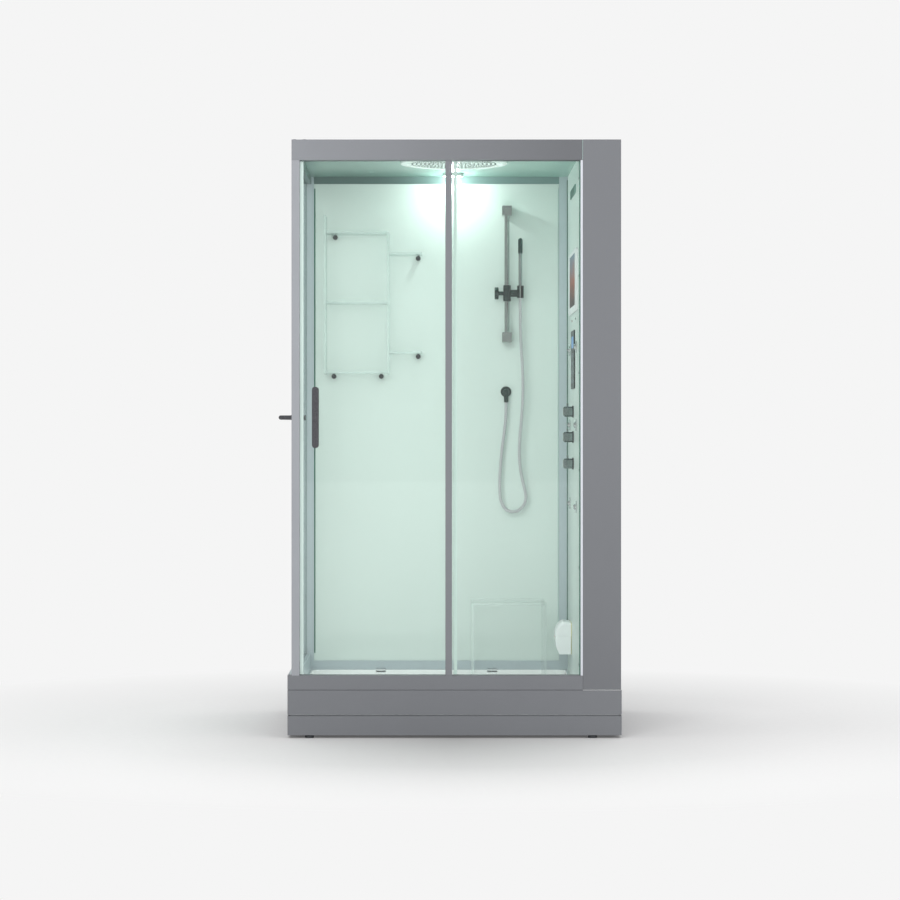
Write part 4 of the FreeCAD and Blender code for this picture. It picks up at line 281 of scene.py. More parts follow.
class Finish:
    """One material: a Principled shader and the nodes that feed it."""

    def __init__(self, name):
        self.material = bpy.data.materials.new(name)
        self.material.use_nodes = True
        self.tree = self.material.node_tree
        self.tree.nodes.clear()
        self.output = self.tree.nodes.new("ShaderNodeOutputMaterial")

    def node(self, kind, settings=None, values=None, output=0):
        """A node of any kind: its settings first, then the values or links of its sockets."""
        made = self.tree.nodes.new("ShaderNode" + kind)
        for key, value in (settings or {}).items():
            setattr(made, key, value)
        for key, value in (values or {}).items():
            if isinstance(value, Signal):
                self.tree.links.new(value.socket, made.inputs[key])
            else:
                made.inputs[key].default_value = value
        return Signal(self, made.outputs[output])

    def place(self, centre=(0, 0, 0), stretch=(1, 1, 1)):
        """Object coordinates about a centre, stretched along the axes."""
        where = self.node("TexCoord", output="Object")
        if centre == (0, 0, 0) and stretch == (1, 1, 1):
            return where
        moved = {"Vector": where, "Location": [-c * s for c, s in zip(centre, stretch)], "Scale": stretch}
        return self.node("Mapping", {"vector_type": "POINT"}, moved)

    def axes(self, vector=None):
        """The three parts of a vector, or of the object coordinates."""
        vector = vector or self.place()
        return [self.node("SeparateXYZ", None, {0: vector}, output=index) for index in range(3)]

    def facing(self):
        """The three parts of the surface's own direction."""
        return self.axes(self.node("NewGeometry", output="Normal"))

    def noise(self, scale, stretch=(1, 1, 1), detail=2.0):
        """Soft noise, about a half, with this many features to a metre."""
        return self.node("TexNoise", None, {"Vector": self.place(stretch=stretch), "Scale": scale, "Detail": detail})

    def mix(self, factor, low, high):
        """One colour or the other, by a factor."""
        low, high = [value if isinstance(value, Signal) else (*value[:3], 1.0) for value in (low, high)]
        settings = {"data_type": "RGBA", "clamp_factor": True}
        return self.node("Mix", settings, {0: factor, 6: low, 7: high}, output=2)

    def shade(self, colour, amount, factor):
        """A colour that runs from darker to lighter by a share, as the factor goes from 0.3 to 0.7."""
        return self.mix(factor.ramp(0.3, 0.7), scaled(colour, 1 - amount), scaled(colour, 1 + amount))

    def bump(self, height, strength, distance):
        """The surface's direction, tipped by a height."""
        return self.node("Bump", None, {"Strength": strength, "Distance": distance, "Height": height})

    def principled(self, colour, **values):
        """A Principled shader; names with an underscore stand for the socket's own."""
        named = {key.replace("_", " "): value for key, value in values.items()}
        named["Base Color"] = colour if isinstance(colour, Signal) else (*colour[:3], 1.0)
        return self.node("BsdfPrincipled", None, named)

    def show(self, shader):
        """This shader is what the surface shows."""
        self.tree.links.new(shader.socket, self.output.inputs["Surface"])
        return self.material


# ---- finishes ----
def satin_paint(name, colour, two_tone_and_painted_light=None):
    """Powder paint: orange peel, faint clouds in tone, and a tone change (axis, start, end, factor) along a part."""
    finish = Finish(name)
    peel = finish.noise(900.0, detail=3.0)
    clouds = finish.noise(5.0)
    tone = finish.shade(colour, 0.03, clouds * 0.6 + peel * 0.4)
    # On the uprights this change is a pale second colour; on the header and column it is painted light and shade.
    if two_tone_and_painted_light:
        axis, start, end, factor = two_tone_and_painted_light
        tone = finish.mix(finish.axes()[axis].ramp(start, end), tone, scaled(colour, factor))
    return finish.show(
        finish.principled(
            tone,
            Roughness=peel * 0.12 + 0.36,
            Specular_IOR_Level=0.4,
            Normal=finish.bump(peel, 0.12, 0.0004),
        )
    )


def anodised(name, colour, roughness=0.34, top=None):
    """Anodised aluminium: fine upright lines, a soft gloss, and (height, left, right) painted shade above the height.
    """
    finish = Finish(name)
    lines = finish.noise(40.0, stretch=(24, 24, 0.6), detail=3.0)
    clouds = finish.noise(4.0)
    tone = finish.shade(colour, 0.05, lines * 0.7 + clouds * 0.3)
    if top:
        # Painted shade: above the height the tone runs from the left colour to the right one.
        height, left, right = top
        painted_shade = finish.mix(finish.axes()[X].ramp(-0.3, 0.3), left, right)
        tone = finish.mix(finish.axes()[Z].ramp(height, height + 0.02), tone, painted_shade)
    rough = lines * 0.16 + (roughness - 0.08)
    return finish.show(
        finish.principled(tone, Metallic=0.35, Roughness=rough, Normal=finish.bump(lines, 0.08, 0.0003))
    )


def back_painted(name, colour, edge, across_axis, roughness, coat, specular, left=1.0):
    """Glass painted on its back: an even face, another colour along the edges, and painted shade towards the left."""
    finish = Finish(name)
    clouds = finish.noise(2.2)
    tone = finish.shade(colour, 0.012, clouds)
    # Painted shade: darker towards the left by the factor left.
    if left != 1.0:
        tone = finish.mix(finish.axes()[X].ramp(-0.3, 0.3), scaled(colour, left), tone)
    rim = abs(finish.facing()[across_axis]).under(0.5)
    tone = finish.mix(rim, tone, edge)
    return finish.show(
        finish.principled(
            tone,
            Roughness=finish.noise(3.0) * 0.05 + roughness,
            Coat_Weight=coat,
            Coat_Roughness=0.03,
            Specular_IOR_Level=specular,
        )
    )


def clear_pane(name, across_axis, edge, tint=(0.965, 0.985, 0.975), strength=1.0, rim_share=0.8, front_rim=False):
    """Clear sheet: lets light straight through, mirrors at a shallow angle, and is tinted along its cut edges.

    The cut edges are where the surface doesn't face along the axis, or, with front_rim, where it does.
    """
    finish = Finish(name)
    rim = abs(finish.facing()[across_axis]).ramp(0.35, 0.75)
    if not front_rim:
        rim = 1 - rim
    slant = finish.node("LayerWeight", None, {"Blend": 0.5}, output="Facing")
    sheen = (slant**5.0) * 0.75 * strength + 0.035 * strength
    smudge = finish.noise(9.0).ramp(0.35, 0.75) * 0.004
    factor = sheen * (1 - rim) + smudge + rim * rim_share
    tone = finish.mix(rim, (0.95, 0.98, 0.97), edge)
    body = finish.principled(tone, Metallic=1 - rim, Roughness=rim * 0.2 + 0.02)
    through = finish.node("BsdfTransparent", None, {"Color": (*tint, 1.0)})
    return finish.show(finish.node("MixShader", None, {0: factor.ramp(0.0, 1.0), 1: through, 2: body}))


def polished(name, colour, roughness=0.1, clouding=0.08, top=None):
    """Polished metal: faint cloudy dulling from water marks, and another tone above a height (height, colour)."""
    finish = Finish(name)
    marks = finish.noise(60.0, detail=4.0)
    fine = finish.noise(700.0)
    tone = finish.shade(colour, clouding, marks)
    if top:
        height, above = top
        tone = finish.mix(finish.axes()[Z].over(height), tone, above)
    rough = marks * 0.1 + fine * 0.04 + (roughness - 0.05)
    return finish.show(
        finish.principled(tone, Metallic=1.0, Roughness=rough, Normal=finish.bump(fine, 0.03, 0.0002))
    )


def moulded(name, colour, roughness, coat=0.0, specular=0.5, line=None):
    """Moulded plastic or acrylic: a fine grain with a soft sheen, and a line (axis, low, high, colour)."""
    finish = Finish(name)
    fine = finish.noise(420.0, detail=3.0)
    clouds = finish.noise(7.0)
    tone = finish.shade(colour, 0.04, fine * 0.5 + clouds * 0.5)
    if line:
        axis, low, high, tint = line
        along = finish.axes()[axis]
        tone = finish.mix(along.over(low) * along.under(high), tone, tint)
    return finish.show(
        finish.principled(
            tone,
            Roughness=fine * 0.14 + (roughness - 0.07),
            Specular_IOR_Level=specular,
            Coat_Weight=coat,
            Coat_Roughness=0.05,
            Normal=finish.bump(fine, 0.08, 0.0003),
        )
    )


def tray_acrylic(name, colour, floor_height):
    """Sanitary acrylic: glossy rim, and a fine raised pattern on the floor to stand on."""
    finish = Finish(name)
    east, north, height = finish.axes()
    on_floor = height.under(floor_height + 0.004) * finish.facing()[Z].over(0.9)
    dots = ((east * 420.0).sine() * (north * 420.0).sine()).ramp(0.1, 0.7) * on_floor
    clouds = finish.noise(6.0)
    tone = finish.shade(colour, 0.012, clouds)
    return finish.show(
        finish.principled(
            tone,
            Roughness=on_floor * 0.14 + finish.noise(30.0) * 0.05 + 0.1,
            Coat_Weight=1 - on_floor * 0.6,
            Coat_Roughness=0.04,
            Normal=finish.bump(dots, 0.4, 0.0006),
        )
    )


def lamp_glass(name, centre, lens_radius, ring_colour):
    """Downlight: a lit lens inside a metal ring."""
    finish = Finish(name)
    east, north, _ = finish.axes(finish.place(centre=centre))
    reach = (east * east + north * north) ** 0.5
    lit = reach.under(lens_radius) * finish.facing()[Z].under(-0.2)
    ripple = ((reach * 2600.0).sine() * 0.5 + 0.5) * lit
    tone = finish.mix(lit, ring_colour, (0.9, 0.94, 0.95))
    glow = finish.mix(lit, (0, 0, 0), (0.93, 1.0, 0.98))
    return finish.show(
        finish.principled(
            tone,
            Metallic=0.3 - lit * 0.3,
            Roughness=lit * 0.25 + 0.14,
            Emission_Color=glow,
            Emission_Strength=6.0,
            Normal=finish.bump(ripple, 0.2, 0.0004),
        )
    )


def screen_glass(name, colour):
    """Black glass front of a screen or panel, with faint finger marks."""
    finish = Finish(name)
    marks = finish.noise(16.0, detail=4.0).ramp(0.45, 0.8)
    tone = finish.mix(marks * 0.4, colour, scaled(colour, 1.6))
    return finish.show(finish.principled(tone, Roughness=marks * 0.12 + 0.3, Specular_IOR_Level=0.12))


def screen_picture(name, low, high):
    """Television screen between two corners: a plain dusk gradient with soft bands, lit."""
    finish = Finish(name)
    _, north, height = finish.axes()
    drift = finish.noise(7.0, stretch=(1, 1, 3), detail=3.0)
    level = height.ramp(low.z, high.z) + drift * 0.35 - 0.17
    glow = finish.mix(level.ramp(0.1, 0.5), linear(58, 44, 40), linear(150, 84, 62))
    glow = finish.mix(level.ramp(0.5, 0.95), glow, linear(112, 134, 148))
    glow = finish.mix(north.ramp(low.y, high.y) * 0.35, glow, linear(60, 60, 68))
    return finish.show(
        finish.principled(
            (0.01, 0.01, 0.012), Roughness=0.4, Specular_IOR_Level=0.05, Emission_Color=glow, Emission_Strength=0.9
        )
    )


def spiral_metal(name, colour):
    """Metal hose: bright crowns and painted shade in the grooves, from the mesh's own groove attribute."""
    finish = Finish(name)
    groove = finish.node("Attribute", {"attribute_name": "groove"}, output="Fac")
    # Painted shade in the grooves.
    tone = finish.mix(groove, colour, scaled(colour, 0.3))
    marks = finish.noise(300.0)
    return finish.show(finish.principled(tone, Metallic=0.55, Roughness=groove * 0.3 + marks * 0.08 + 0.16))


def lit_symbols(name, colour, strength):
    """Lit marks of the control panel, a little brighter in the middle."""
    finish = Finish(name)
    level = finish.noise(60.0).ramp(0.2, 0.8)
    glow = finish.mix(level, scaled(colour, 0.8), scaled(colour, 1.2))
    values = {"Roughness": 0.35, "Specular_IOR_Level": 0.1, "Emission_Color": glow, "Emission_Strength": strength}
    return finish.show(finish.principled((0.02, 0.02, 0.03), **values))


def dress(material, *nodes):
    """These CAD nodes show this material in every slot."""
    for name in nodes:
        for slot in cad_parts[name].material_slots:
            slot.material = material


def own(piece, material, body):
    """A new piece gets its material and the body that it moves with."""
    piece.data.materials.append(material)
    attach(piece, body)
    return piece


def sizes():
    """The sizes in the property group."""
    return bpy.context.scene.cabin_sizes


def colours():
    """The colours in the property group."""
    return bpy.context.scene.cabin_colours


# ---- operators ----
COVER_TO_FLOOR = 0.0197             # from the underside of the waste's cover up to the tray's floor
WAND_HEAD = 0.061                   # height of the hand shower's dark head
LENS_RADIUS = 0.031                 # of the ceiling light


class CABIN_OT_finishes(bpy.types.Operator):
    """Gives every carried-over CAD part its finish."""

    bl_idname = "cabin.finishes"
    bl_label = "Finishes of the CAD parts"

    def execute(self, context):
        """One material to a finish, and the nodes that show it."""
        tone = colours()
        outer = satin_paint("outer_frame_paint", tone.outer)
        dress(outer, "front_bottom_rail", "column_shell", "front_skirts", "side_skirts")
        uprights = satin_paint("upright_paint", scaled(tone.outer, 1.1), two_tone_and_painted_light=(X, 0.4515, 0.4525, 3.1))
        dress(uprights, "fixed_pane_uprights")
        # Header: a lighter copy of the outer paint as painted light, with painted shade towards the right.
        header = satin_paint("header_paint", scaled(tone.outer, 1.38), two_tone_and_painted_light=(X, -0.58, 0.40, 0.57))
        dress(header, "header")
        # Column: a darker copy of the outer paint as painted shade, lighter towards the top as painted light.
        column = satin_paint("column_paint", scaled(tone.outer, 0.9), two_tone_and_painted_light=(Z, 0.2, 1.1, 1.1))
        dress(column, "column_front_panel")
        dress(satin_paint("post_paint", scaled(tone.outer, 1.75)), "front_left_post")
        dress(anodised("inner_profiles", tone.inner), "rear_posts")
        # Painted shade on the rails above 1.9 m, darkest at the left.
        rail_painted_shade = (1.9, linear(94, 118, 115), linear(122, 148, 146))
        dress(anodised("rail_profiles", tone.inner, top=rail_painted_shade), "side_and_rear_rails")
        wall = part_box("right_panel")[0].x
        joint = (X, wall - 0.0028, wall, linear(222, 214, 160))
        outlet = moulded("pale_moulding", tone.trim, roughness=0.3, specular=0.3, line=joint)
        dress(outlet, "steam_outlet", "steam_outlet_lid")
        dress(moulded("pale_frame", scaled(tone.trim, 0.96), roughness=0.45, specular=0.1), "tv_frame")
        dress(moulded("grille_plastic", linear(112, 150, 140), roughness=0.5, specular=0.12), "vent_grille")
        edge = tone.glass_edge
        rear = back_painted("rear_wall_glass", tone.panel, edge, Y, roughness=0.12, coat=0.4, specular=0.4)
        dress(rear, "rear_panel")
        right = back_painted("right_wall_glass", tone.panel, edge, X, roughness=0.3, coat=0.0, specular=0.12)
        dress(right, "right_panel")
        edge = scaled(tone.ceiling, 0.8)
        # The ceiling gets painted shade towards its left.
        roof = back_painted("ceiling_gloss", tone.ceiling, edge, Z, roughness=0.22, coat=0.1, specular=0.2, left=0.68)
        dress(roof, "roof_panel")
        tray_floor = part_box("drain_cover")[0].z + COVER_TO_FLOOR
        dress(tray_acrylic("tray_acrylic", tone.tray, tray_floor), "shower_tray")
        dress(clear_pane("front_pane", Y, tone.glass_edge), "fixed_front_glass")
        dress(clear_pane("door_pane", Y, linear(196, 214, 208), rim_share=0.3), "door_glass")
        dress(clear_pane("side_pane", X, tone.glass_edge), "left_glass")
        edge, tint = linear(226, 242, 238), (0.975, 0.99, 0.985)
        shelf = clear_pane("shelf_acrylic", Y, edge, tint, strength=0.5, rim_share=0.4, front_rim=True)
        dress(shelf, "shelf_unit")
        edge, tint = linear(226, 240, 236), (0.985, 0.992, 0.99)
        stool = clear_pane("stool_acrylic", Y, edge, tint, strength=0.3, rim_share=0.2, front_rim=True)
        dress(stool, "stool")
        dress(moulded("seal_vinyl", linear(208, 226, 220), roughness=0.3, specular=0.3), "door_seals")
        dress(moulded("dark_grips", tone.grip, roughness=0.28), "door_handle", "towel_bar")
        # Painted reflection: the riser, the slider, cradle and elbow, and the knobs are chrome set darker than bright
        # chrome, the fittings tinted green, for dark reflections.
        dress(polished("riser_chrome", linear(176, 182, 180), roughness=0.16), "riser_rail")
        head = (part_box("hand_shower")[1].z - WAND_HEAD, linear(72, 92, 90))
        dress(polished("wand_chrome", linear(176, 184, 184), roughness=0.14, top=head), "hand_shower")
        dark = polished("painted_reflection_chrome", linear(84, 96, 94), roughness=0.12)
        dress(dark, "rail_slider", "slider_knob", "shower_cradle", "wall_elbow")
        bright = polished("chrome", linear(214, 216, 217), roughness=0.08)
        dress(bright, "drain_cover", "jet_plates")
        knob = polished("knob_chrome", linear(148, 158, 158), roughness=0.1)
        dress(knob, "valve_knob_upper", "valve_knob_middle", "valve_knob_lower")
        jets = [f"jet_nozzle_{number}" for number in JET_NUMBERS]
        dress(polished("jet_chrome", linear(196, 199, 200), roughness=0.14), *jets)
        dress(polished("valve_plate_metal", linear(96, 98, 100), roughness=0.2), "valve_plates", "shelf_standoffs")
        pipe = (Z, 2.1005, 2.2, linear(150, 153, 156))
        dress(moulded("rain_shower_plate", linear(236, 246, 243), roughness=0.25, coat=0.6, line=pipe), "rain_shower")
        steel = polished("rolled_steel", linear(170, 172, 174), roughness=0.3, clouding=0.14)
        dress(steel, "door_hangers_and_guides", "panel_screws", "steam_generator")
        dress(anodised("galvanised_bars", linear(158, 162, 166), roughness=0.45), "tray_frame")
        dress(moulded("feet_rubber", linear(58, 60, 63), roughness=0.6), "levelling_feet", "fan_rotor")
        dress(moulded("roller_nylon", linear(226, 226, 220), roughness=0.3), "top_roller_left", "top_roller_right")
        dress(moulded("trap_plastic", linear(206, 208, 206), roughness=0.35), "drain_trap")
        dress(polished("valve_brass", linear(196, 164, 104), roughness=0.28, clouding=0.14), "mixing_valve")
        dress(screen_glass("panel_glass", linear(32, 34, 38)), "control_panel")
        dress(screen_picture("dusk_picture", *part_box("tv_screen")), "tv_screen")
        low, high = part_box("ceiling_light")
        middle = ((low.x + high.x) / 2, (low.y + high.y) / 2, 0.0)
        dress(lamp_glass("downlight", middle, LENS_RADIUS, linear(224, 228, 228)), "ceiling_light")
        return {"FINISHED"}


HOSE_ROUTE = [
    (0.2645, 0.386, 1.6217), (0.2645, 0.386, 1.531), (0.2675, 0.385, 1.432), (0.274, 0.386, 1.337),
    (0.276, 0.388, 1.237), (0.2695, 0.390, 1.142), (0.2605, 0.392, 1.052), (0.262, 0.394, 0.967),
    (0.276, 0.396, 0.895), (0.291, 0.398, 0.840), (0.274, 0.3995, 0.797), (0.2385, 0.401, 0.780),
    (0.2045, 0.4025, 0.792), (0.186, 0.404, 0.832), (0.184, 0.406, 0.887), (0.187, 0.408, 0.957),
    (0.194, 0.410, 1.037), (0.2045, 0.411, 1.109), (0.2095, 0.411, 1.160), (0.2095, 0.411, 1.214),
]
HOSE_TOP_LENGTH = 0.080             # from the hand shower down
HOSE_END_LENGTH = 0.006             # of that, the end at the hand shower
HOSE_BEND_LENGTH = 0.090            # below that, round the bend
LOOP_HELD = (0.212, 0.4, 1.0)       # start of the loop's stretch
LOOP_CARRIED = (0.262, 0.4, 1.0)    # and its end
HOSE_SIDES = 16                     # of each ring
HOSE_RINGS = 10                     # to one turn of the spiral


def smooth_line(points):
    """The line of a third-order NURBS spline with these control points, and the length run at each of its points."""
    curve = bpy.data.curves.new("route", "CURVE")
    curve.dimensions = "3D"
    spline = curve.splines.new("NURBS")
    spline.points.add(len(points) - 1)
    spline.points.foreach_set("co", np.column_stack((points, np.ones(len(points)))).ravel())
    spline.order_u = 3
    spline.use_endpoint_u = True
    spline.resolution_u = 32
    holder = bpy.data.objects.new("route", curve)
    line = bpy.data.meshes.new_from_object(holder)
    places = np.empty(len(line.vertices) * 3)
    line.vertices.foreach_get("co", places)
    places = places.reshape(-1, 3)
    bpy.data.objects.remove(holder)
    bpy.data.curves.remove(curve)
    bpy.data.meshes.remove(line)
    run = np.concatenate(([0.0], np.cumsum(np.linalg.norm(np.diff(places, axis=0), axis=1))))
    return places, run


def hose_piece(name, places, run, start, end):
    """A stretch of the metal hose: rings along the line, whose radius dips by a groove that winds once a pitch."""
    pitch = sizes().hose_pitch
    rings = round((end - start) / pitch * HOSE_RINGS)
    along = np.linspace(start, end, rings)
    path = np.stack([np.interp(along, run, places[:, axis]) for axis in (X, Y, Z)], axis=1)
    side, other = square_to(path)
    angle = np.linspace(0, 2 * math.pi, HOSE_SIDES, endpoint=False)
    wind = 2 * math.pi * along[:, None] / pitch + angle[None]
    groove = (0.5 + 0.5 * np.cos(wind)) ** 2
    radius = sizes().hose_diameter / 2 - sizes().hose_groove * groove
    spoke = np.cos(angle)[None, :, None] * side[:, None] - np.sin(angle)[None, :, None] * other[:, None]
    piece = add_mesh(name, path[:, None] + radius[..., None] * spoke, closed_faces(rings, HOSE_SIDES))
    mark = piece.data.attributes.new("groove", "FLOAT", "POINT")
    mark.data.foreach_set("value", groove.ravel())
    return piece, path


class CABIN_OT_hose(bpy.types.Operator):
    """Metal hose of the hand shower, in three stretches along one line."""

    bl_idname = "cabin.hose"
    bl_label = "Shower hose"

    def execute(self, context):
        """Three stretches of one line, from the hand shower down, round the bend and up to the elbow."""
        places, run = smooth_line(HOSE_ROUTE)
        cuts = (0.0, HOSE_TOP_LENGTH, HOSE_TOP_LENGTH + HOSE_BEND_LENGTH, run[-1])
        metal = spiral_metal("hose_metal", linear(232, 232, 236))
        x, y, top = HOSE_ROUTE[0]
        middle = (x, y, top - HOSE_TOP_LENGTH)
        low = (x, y, top - HOSE_TOP_LENGTH - HOSE_BEND_LENGTH)
        stretches = (
            ("hose_top", "cradle", "wand", middle, (x, y, top - HOSE_END_LENGTH)),
            ("hose_bend", "slider", "cradle", low, middle),
            ("hose_loop", "root", "slider", LOOP_HELD, LOOP_CARRIED),
        )
        for (name, held, moving, start, end), near, far in zip(stretches, cuts, cuts[1:]):
            piece, path = hose_piece(name, places, run, near, far)
            piece.data.materials.append(metal)
            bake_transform(piece)
            path = path[::-1]
            float(far - near)
        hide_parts("shower_hose")
        return {"FINISHED"}


DOME = np.array([(1.0, 0.0), (0.93, 0.45), (0.6, 0.8), (0.02, 1.0)])
DOME_SIDES = 8
RAIN_MIDDLE = (0.0, -0.138)         # X and Y of the rain shower
RAIN_REACH = 0.168                  # largest radius of a ring of nozzles
RAIN_STEP = 0.0015                  # from the rain shower's lowest edge up to its plate
RAIN_TURN = 0.35                    # each ring is turned by this much more than the one inside it
PORT_RING = 0.0058                  # radius of the ring of outlets on a body jet
PORT_RADIUS, PORT_HEIGHT = 0.0011, 0.0007
PORT_SINK = 0.0001                  # how far the foot of an outlet lies inside the jet


def dome_shape(radius, height, axis):
    """Points and faces of a small dome: rings of a quarter ellipse about an axis, the last one tiny."""
    rings = turned_points(DOME * (radius, height), (0, 0, 0), axis, DOME_SIDES).reshape(-1, 3)
    return rings, grid_faces(len(DOME), DOME_SIDES)


class CABIN_OT_rain_nozzles(bpy.types.Operator):
    """Rubber nozzles of the rain shower, in rings on its plate."""

    bl_idname = "cabin.rain_nozzles"
    bl_label = "Rain shower nozzles"

    def execute(self, context):
        """Ring n has radius n times the spacing, and as many nozzles as keep that spacing round it."""
        spacing = sizes().nozzle_spacing
        radius = spacing * np.arange(1, int(RAIN_REACH / spacing) + 1)
        counts = np.round(2 * math.pi * radius / spacing).astype(int)
        ring = np.repeat(np.arange(len(radius)), counts)
        within = np.arange(counts.sum()) - np.repeat(np.cumsum(counts) - counts, counts)
        angle = 2 * math.pi * within / counts[ring] + RAIN_TURN * ring
        x, y = RAIN_MIDDLE
        plate = np.full(len(ring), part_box("rain_shower")[0].z + RAIN_STEP)
        places = np.stack((x + radius[ring] * np.cos(angle), y + radius[ring] * np.sin(angle), plate), axis=1)
        points, faces = dome_shape(sizes().nozzle_diameter / 2, RAIN_STEP * 0.9, (0, 0, -1))
        piece = repeated("rain_nozzles", points, faces, places)
        own(piece, moulded("nozzle_rubber", linear(30, 44, 42), roughness=0.5), "root")
        return {"FINISHED"}


class CABIN_OT_jet_ports(bpy.types.Operator):
    """Small outlets round the middle of each body jet; they swivel with it."""

    bl_idname = "cabin.jet_ports"
    bl_label = "Body jet outlets"

    def execute(self, context):
        """A ring of small domes on each jet's flat face."""
        rubber = moulded("port_rubber", linear(52, 56, 58), roughness=0.5)
        points, faces = dome_shape(PORT_RADIUS, PORT_HEIGHT, (-1, 0, 0))
        count = sizes().jet_outlets
        angle = 2 * math.pi * np.arange(count) / count
        for number in JET_NUMBERS:
            low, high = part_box(f"jet_nozzle_{number}")
            y, z = (low.y + high.y) / 2, (low.z + high.z) / 2
            face = np.full(count, low.x + PORT_SINK)
            places = np.stack((face, y + PORT_RING * np.cos(angle), z + PORT_RING * np.sin(angle)), axis=1)
            own(repeated(f"jet_ports_{number}", points, faces, places), rubber, f"jet_{number}")
        return {"FINISHED"}


DISPLAY_DOWN = 0.2                  # from the top of the control panel to the display's middle, of its height
DISPLAY_SIZE = (0.62, 0.2)          # of the panel's width and height, as are the next three
KEY_SIZE = (0.13, 0.07)
KEY_SPACING = (0.27, 0.15)
KEYS_DOWN = 0.42                    # from the top of the panel to the first row of keys
SENSOR_HEIGHT = 1.520
SENSORS = (("sensor_rear", 0.110, (150, 96, 92)), ("sensor_front", -0.129, (60, 84, 80)))    # name, Y and colour


class CABIN_OT_panel_details(bpy.types.Operator):
    """Lit marks of the control panel, the two sensors under the television and the steam outlet's lamp."""

    bl_idname = "cabin.panel_details"
    bl_label = "Panel marks and sensors"

    def execute(self, context):
        """A display, three columns of keys, two sensors and one small red lamp."""
        low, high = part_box("control_panel")
        middle, wide, tall = (low.y + high.y) / 2, high.y - low.y, high.z - low.z
        size = (wide * DISPLAY_SIZE[0], tall * DISPLAY_SIZE[1])
        display = self.plate((low.x, middle, high.z - tall * DISPLAY_DOWN), *size)
        marks = lit_symbols("panel_marks", colours().display, 0.6)
        own(self.plates("panel_display", [display]), marks, "root")
        size = (wide * KEY_SIZE[0], tall * KEY_SIZE[1])
        keys = []
        for row in range(4):
            for column in (-1, 0, 1):
                y = middle + column * wide * KEY_SPACING[0]
                z = high.z - tall * (KEYS_DOWN + KEY_SPACING[1] * row)
                keys.append(self.plate((low.x, y, z), *size))
        marks = lit_symbols("key_marks", linear(132, 142, 150), 0.5)
        own(self.plates("panel_keys", keys), marks, "root")
        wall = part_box("right_panel")[0].x
        for name, y, tint in SENSORS:
            place = (wall, y, SENSOR_HEIGHT)
            piece = self.button(name, place, radius=0.0045, height=0.0022, foot=0.001, sides=24)
            own(piece, moulded(name + "_plastic", linear(*tint), roughness=0.25), "root")
        low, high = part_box("steam_outlet")
        tip = (low.x + 0.0008, (low.y + high.y) / 2, high.z - 0.004)
        lamp = self.button("steam_lamp", tip, radius=0.003, height=0.0016, foot=0.002, sides=20)
        finish = Finish("red_lamp")
        level = finish.noise(200.0).ramp(0.2, 0.8)
        red = finish.mix(level, linear(214, 70, 60), linear(246, 110, 96))
        own(lamp, finish.show(finish.principled(red, Roughness=0.25, Coat_Weight=1.0)), "root")
        return {"FINISHED"}

    def button(self, name, place, radius, height, foot, sides):
        """A small round dome on the right wall, whose foot stands in the wall."""
        profile = np.vstack(((radius, -foot), DOME * (radius, height)))
        return turned(name, profile, place, (-1, 0, 0), sides)

    def plate(self, place, wide, tall):
        """Rounded rectangle standing a hair proud of the panel, as (rings, points): foot, edge and smaller face."""
        outline = rounded_outline(wide, tall, min(wide, tall) * 0.3)
        depth = np.array((0.0, -0.0004, -0.0005))
        inset = np.array((1.0, 1.0, 0.9))
        points = np.empty((3, len(outline), 3))
        points[..., X] = place[X] + depth[:, None]
        points[..., Y:] = place[Y:] + inset[:, None, None] * outline
        return points

    def plates(self, name, plates):
        """Several plates as one mesh, each closed by one face at the front."""
        points, faces, start = [], [], 0
        for plate in plates:
            rings, count = plate.shape[:2]
            faces.extend(grid_faces(rings, count) + start)
            faces.append(range(start + (rings - 1) * count, start + rings * count))
            points.append(plate.reshape(-1, 3))
            start += rings * count
        return add_mesh(name, np.concatenate(points), faces, smooth=False)


SEAL_LEFT, SEAL_RIGHT = -0.5435, 0.4155    # X of the seals beside the rear panel
SEAL_PANE = 0.450                   # X of the seal on the fixed front pane


class CABIN_OT_seals(bpy.types.Operator):
    """Seals of the rear panel, the fixed pane and the right rear corner, and the seam of the header."""

    bl_idname = "cabin.seals"
    bl_label = "Panel seals"

    def execute(self, context):
        """Five slim strips, each upright."""
        dark = moulded("dark_seal", linear(58, 108, 92), roughness=0.4)
        pale = moulded("pale_seal", linear(176, 200, 196), roughness=0.35)
        low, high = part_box("rear_panel")
        outline = rounded_outline(sizes().gasket_width, 0.003, 0.0012)
        ends = (low.z + 0.04, high.z - 0.028)
        self.strip("rear_seal_left", (SEAL_LEFT, low.y - 0.0012), ends, outline, dark)
        self.strip("rear_seal_right", (SEAL_RIGHT, low.y - 0.0012), ends, outline * (0.5, 1.0), pale)
        low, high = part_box("fixed_front_glass")
        outline = rounded_outline(0.0036, 0.001, 0.0004)
        self.strip("pane_seal", (SEAL_PANE, low.y - 0.0007), (low.z + 0.013, high.z - 0.013), outline, dark)
        place = (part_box("right_panel")[0].x - 0.0020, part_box("rear_posts")[0].y - 0.0016)
        outline = rounded_outline(0.0032, 0.0024, 0.0008)
        self.strip("corner_seal", place, (low.z + 0.02, high.z), outline, dark)
        low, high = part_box("header")
        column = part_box("column_front_panel")[0].x
        place = ((high.x + column) / 2, low.y + 0.0012)
        outline = rounded_outline((column - high.x) * 0.8, 0.0016, 0.0003)
        self.strip("header_seam", place, (low.z + 0.002, high.z - 0.004), outline, pale, rings=4)
        return {"FINISHED"}

    def strip(self, name, place, ends, outline, material, rings=12):
        """One seal: an outline carried straight up at a place (x, y), from one height to another."""
        path = np.array([(*place, z) for z in np.linspace(*ends, rings)])
        own(swept(name, path, outline), material, "root")


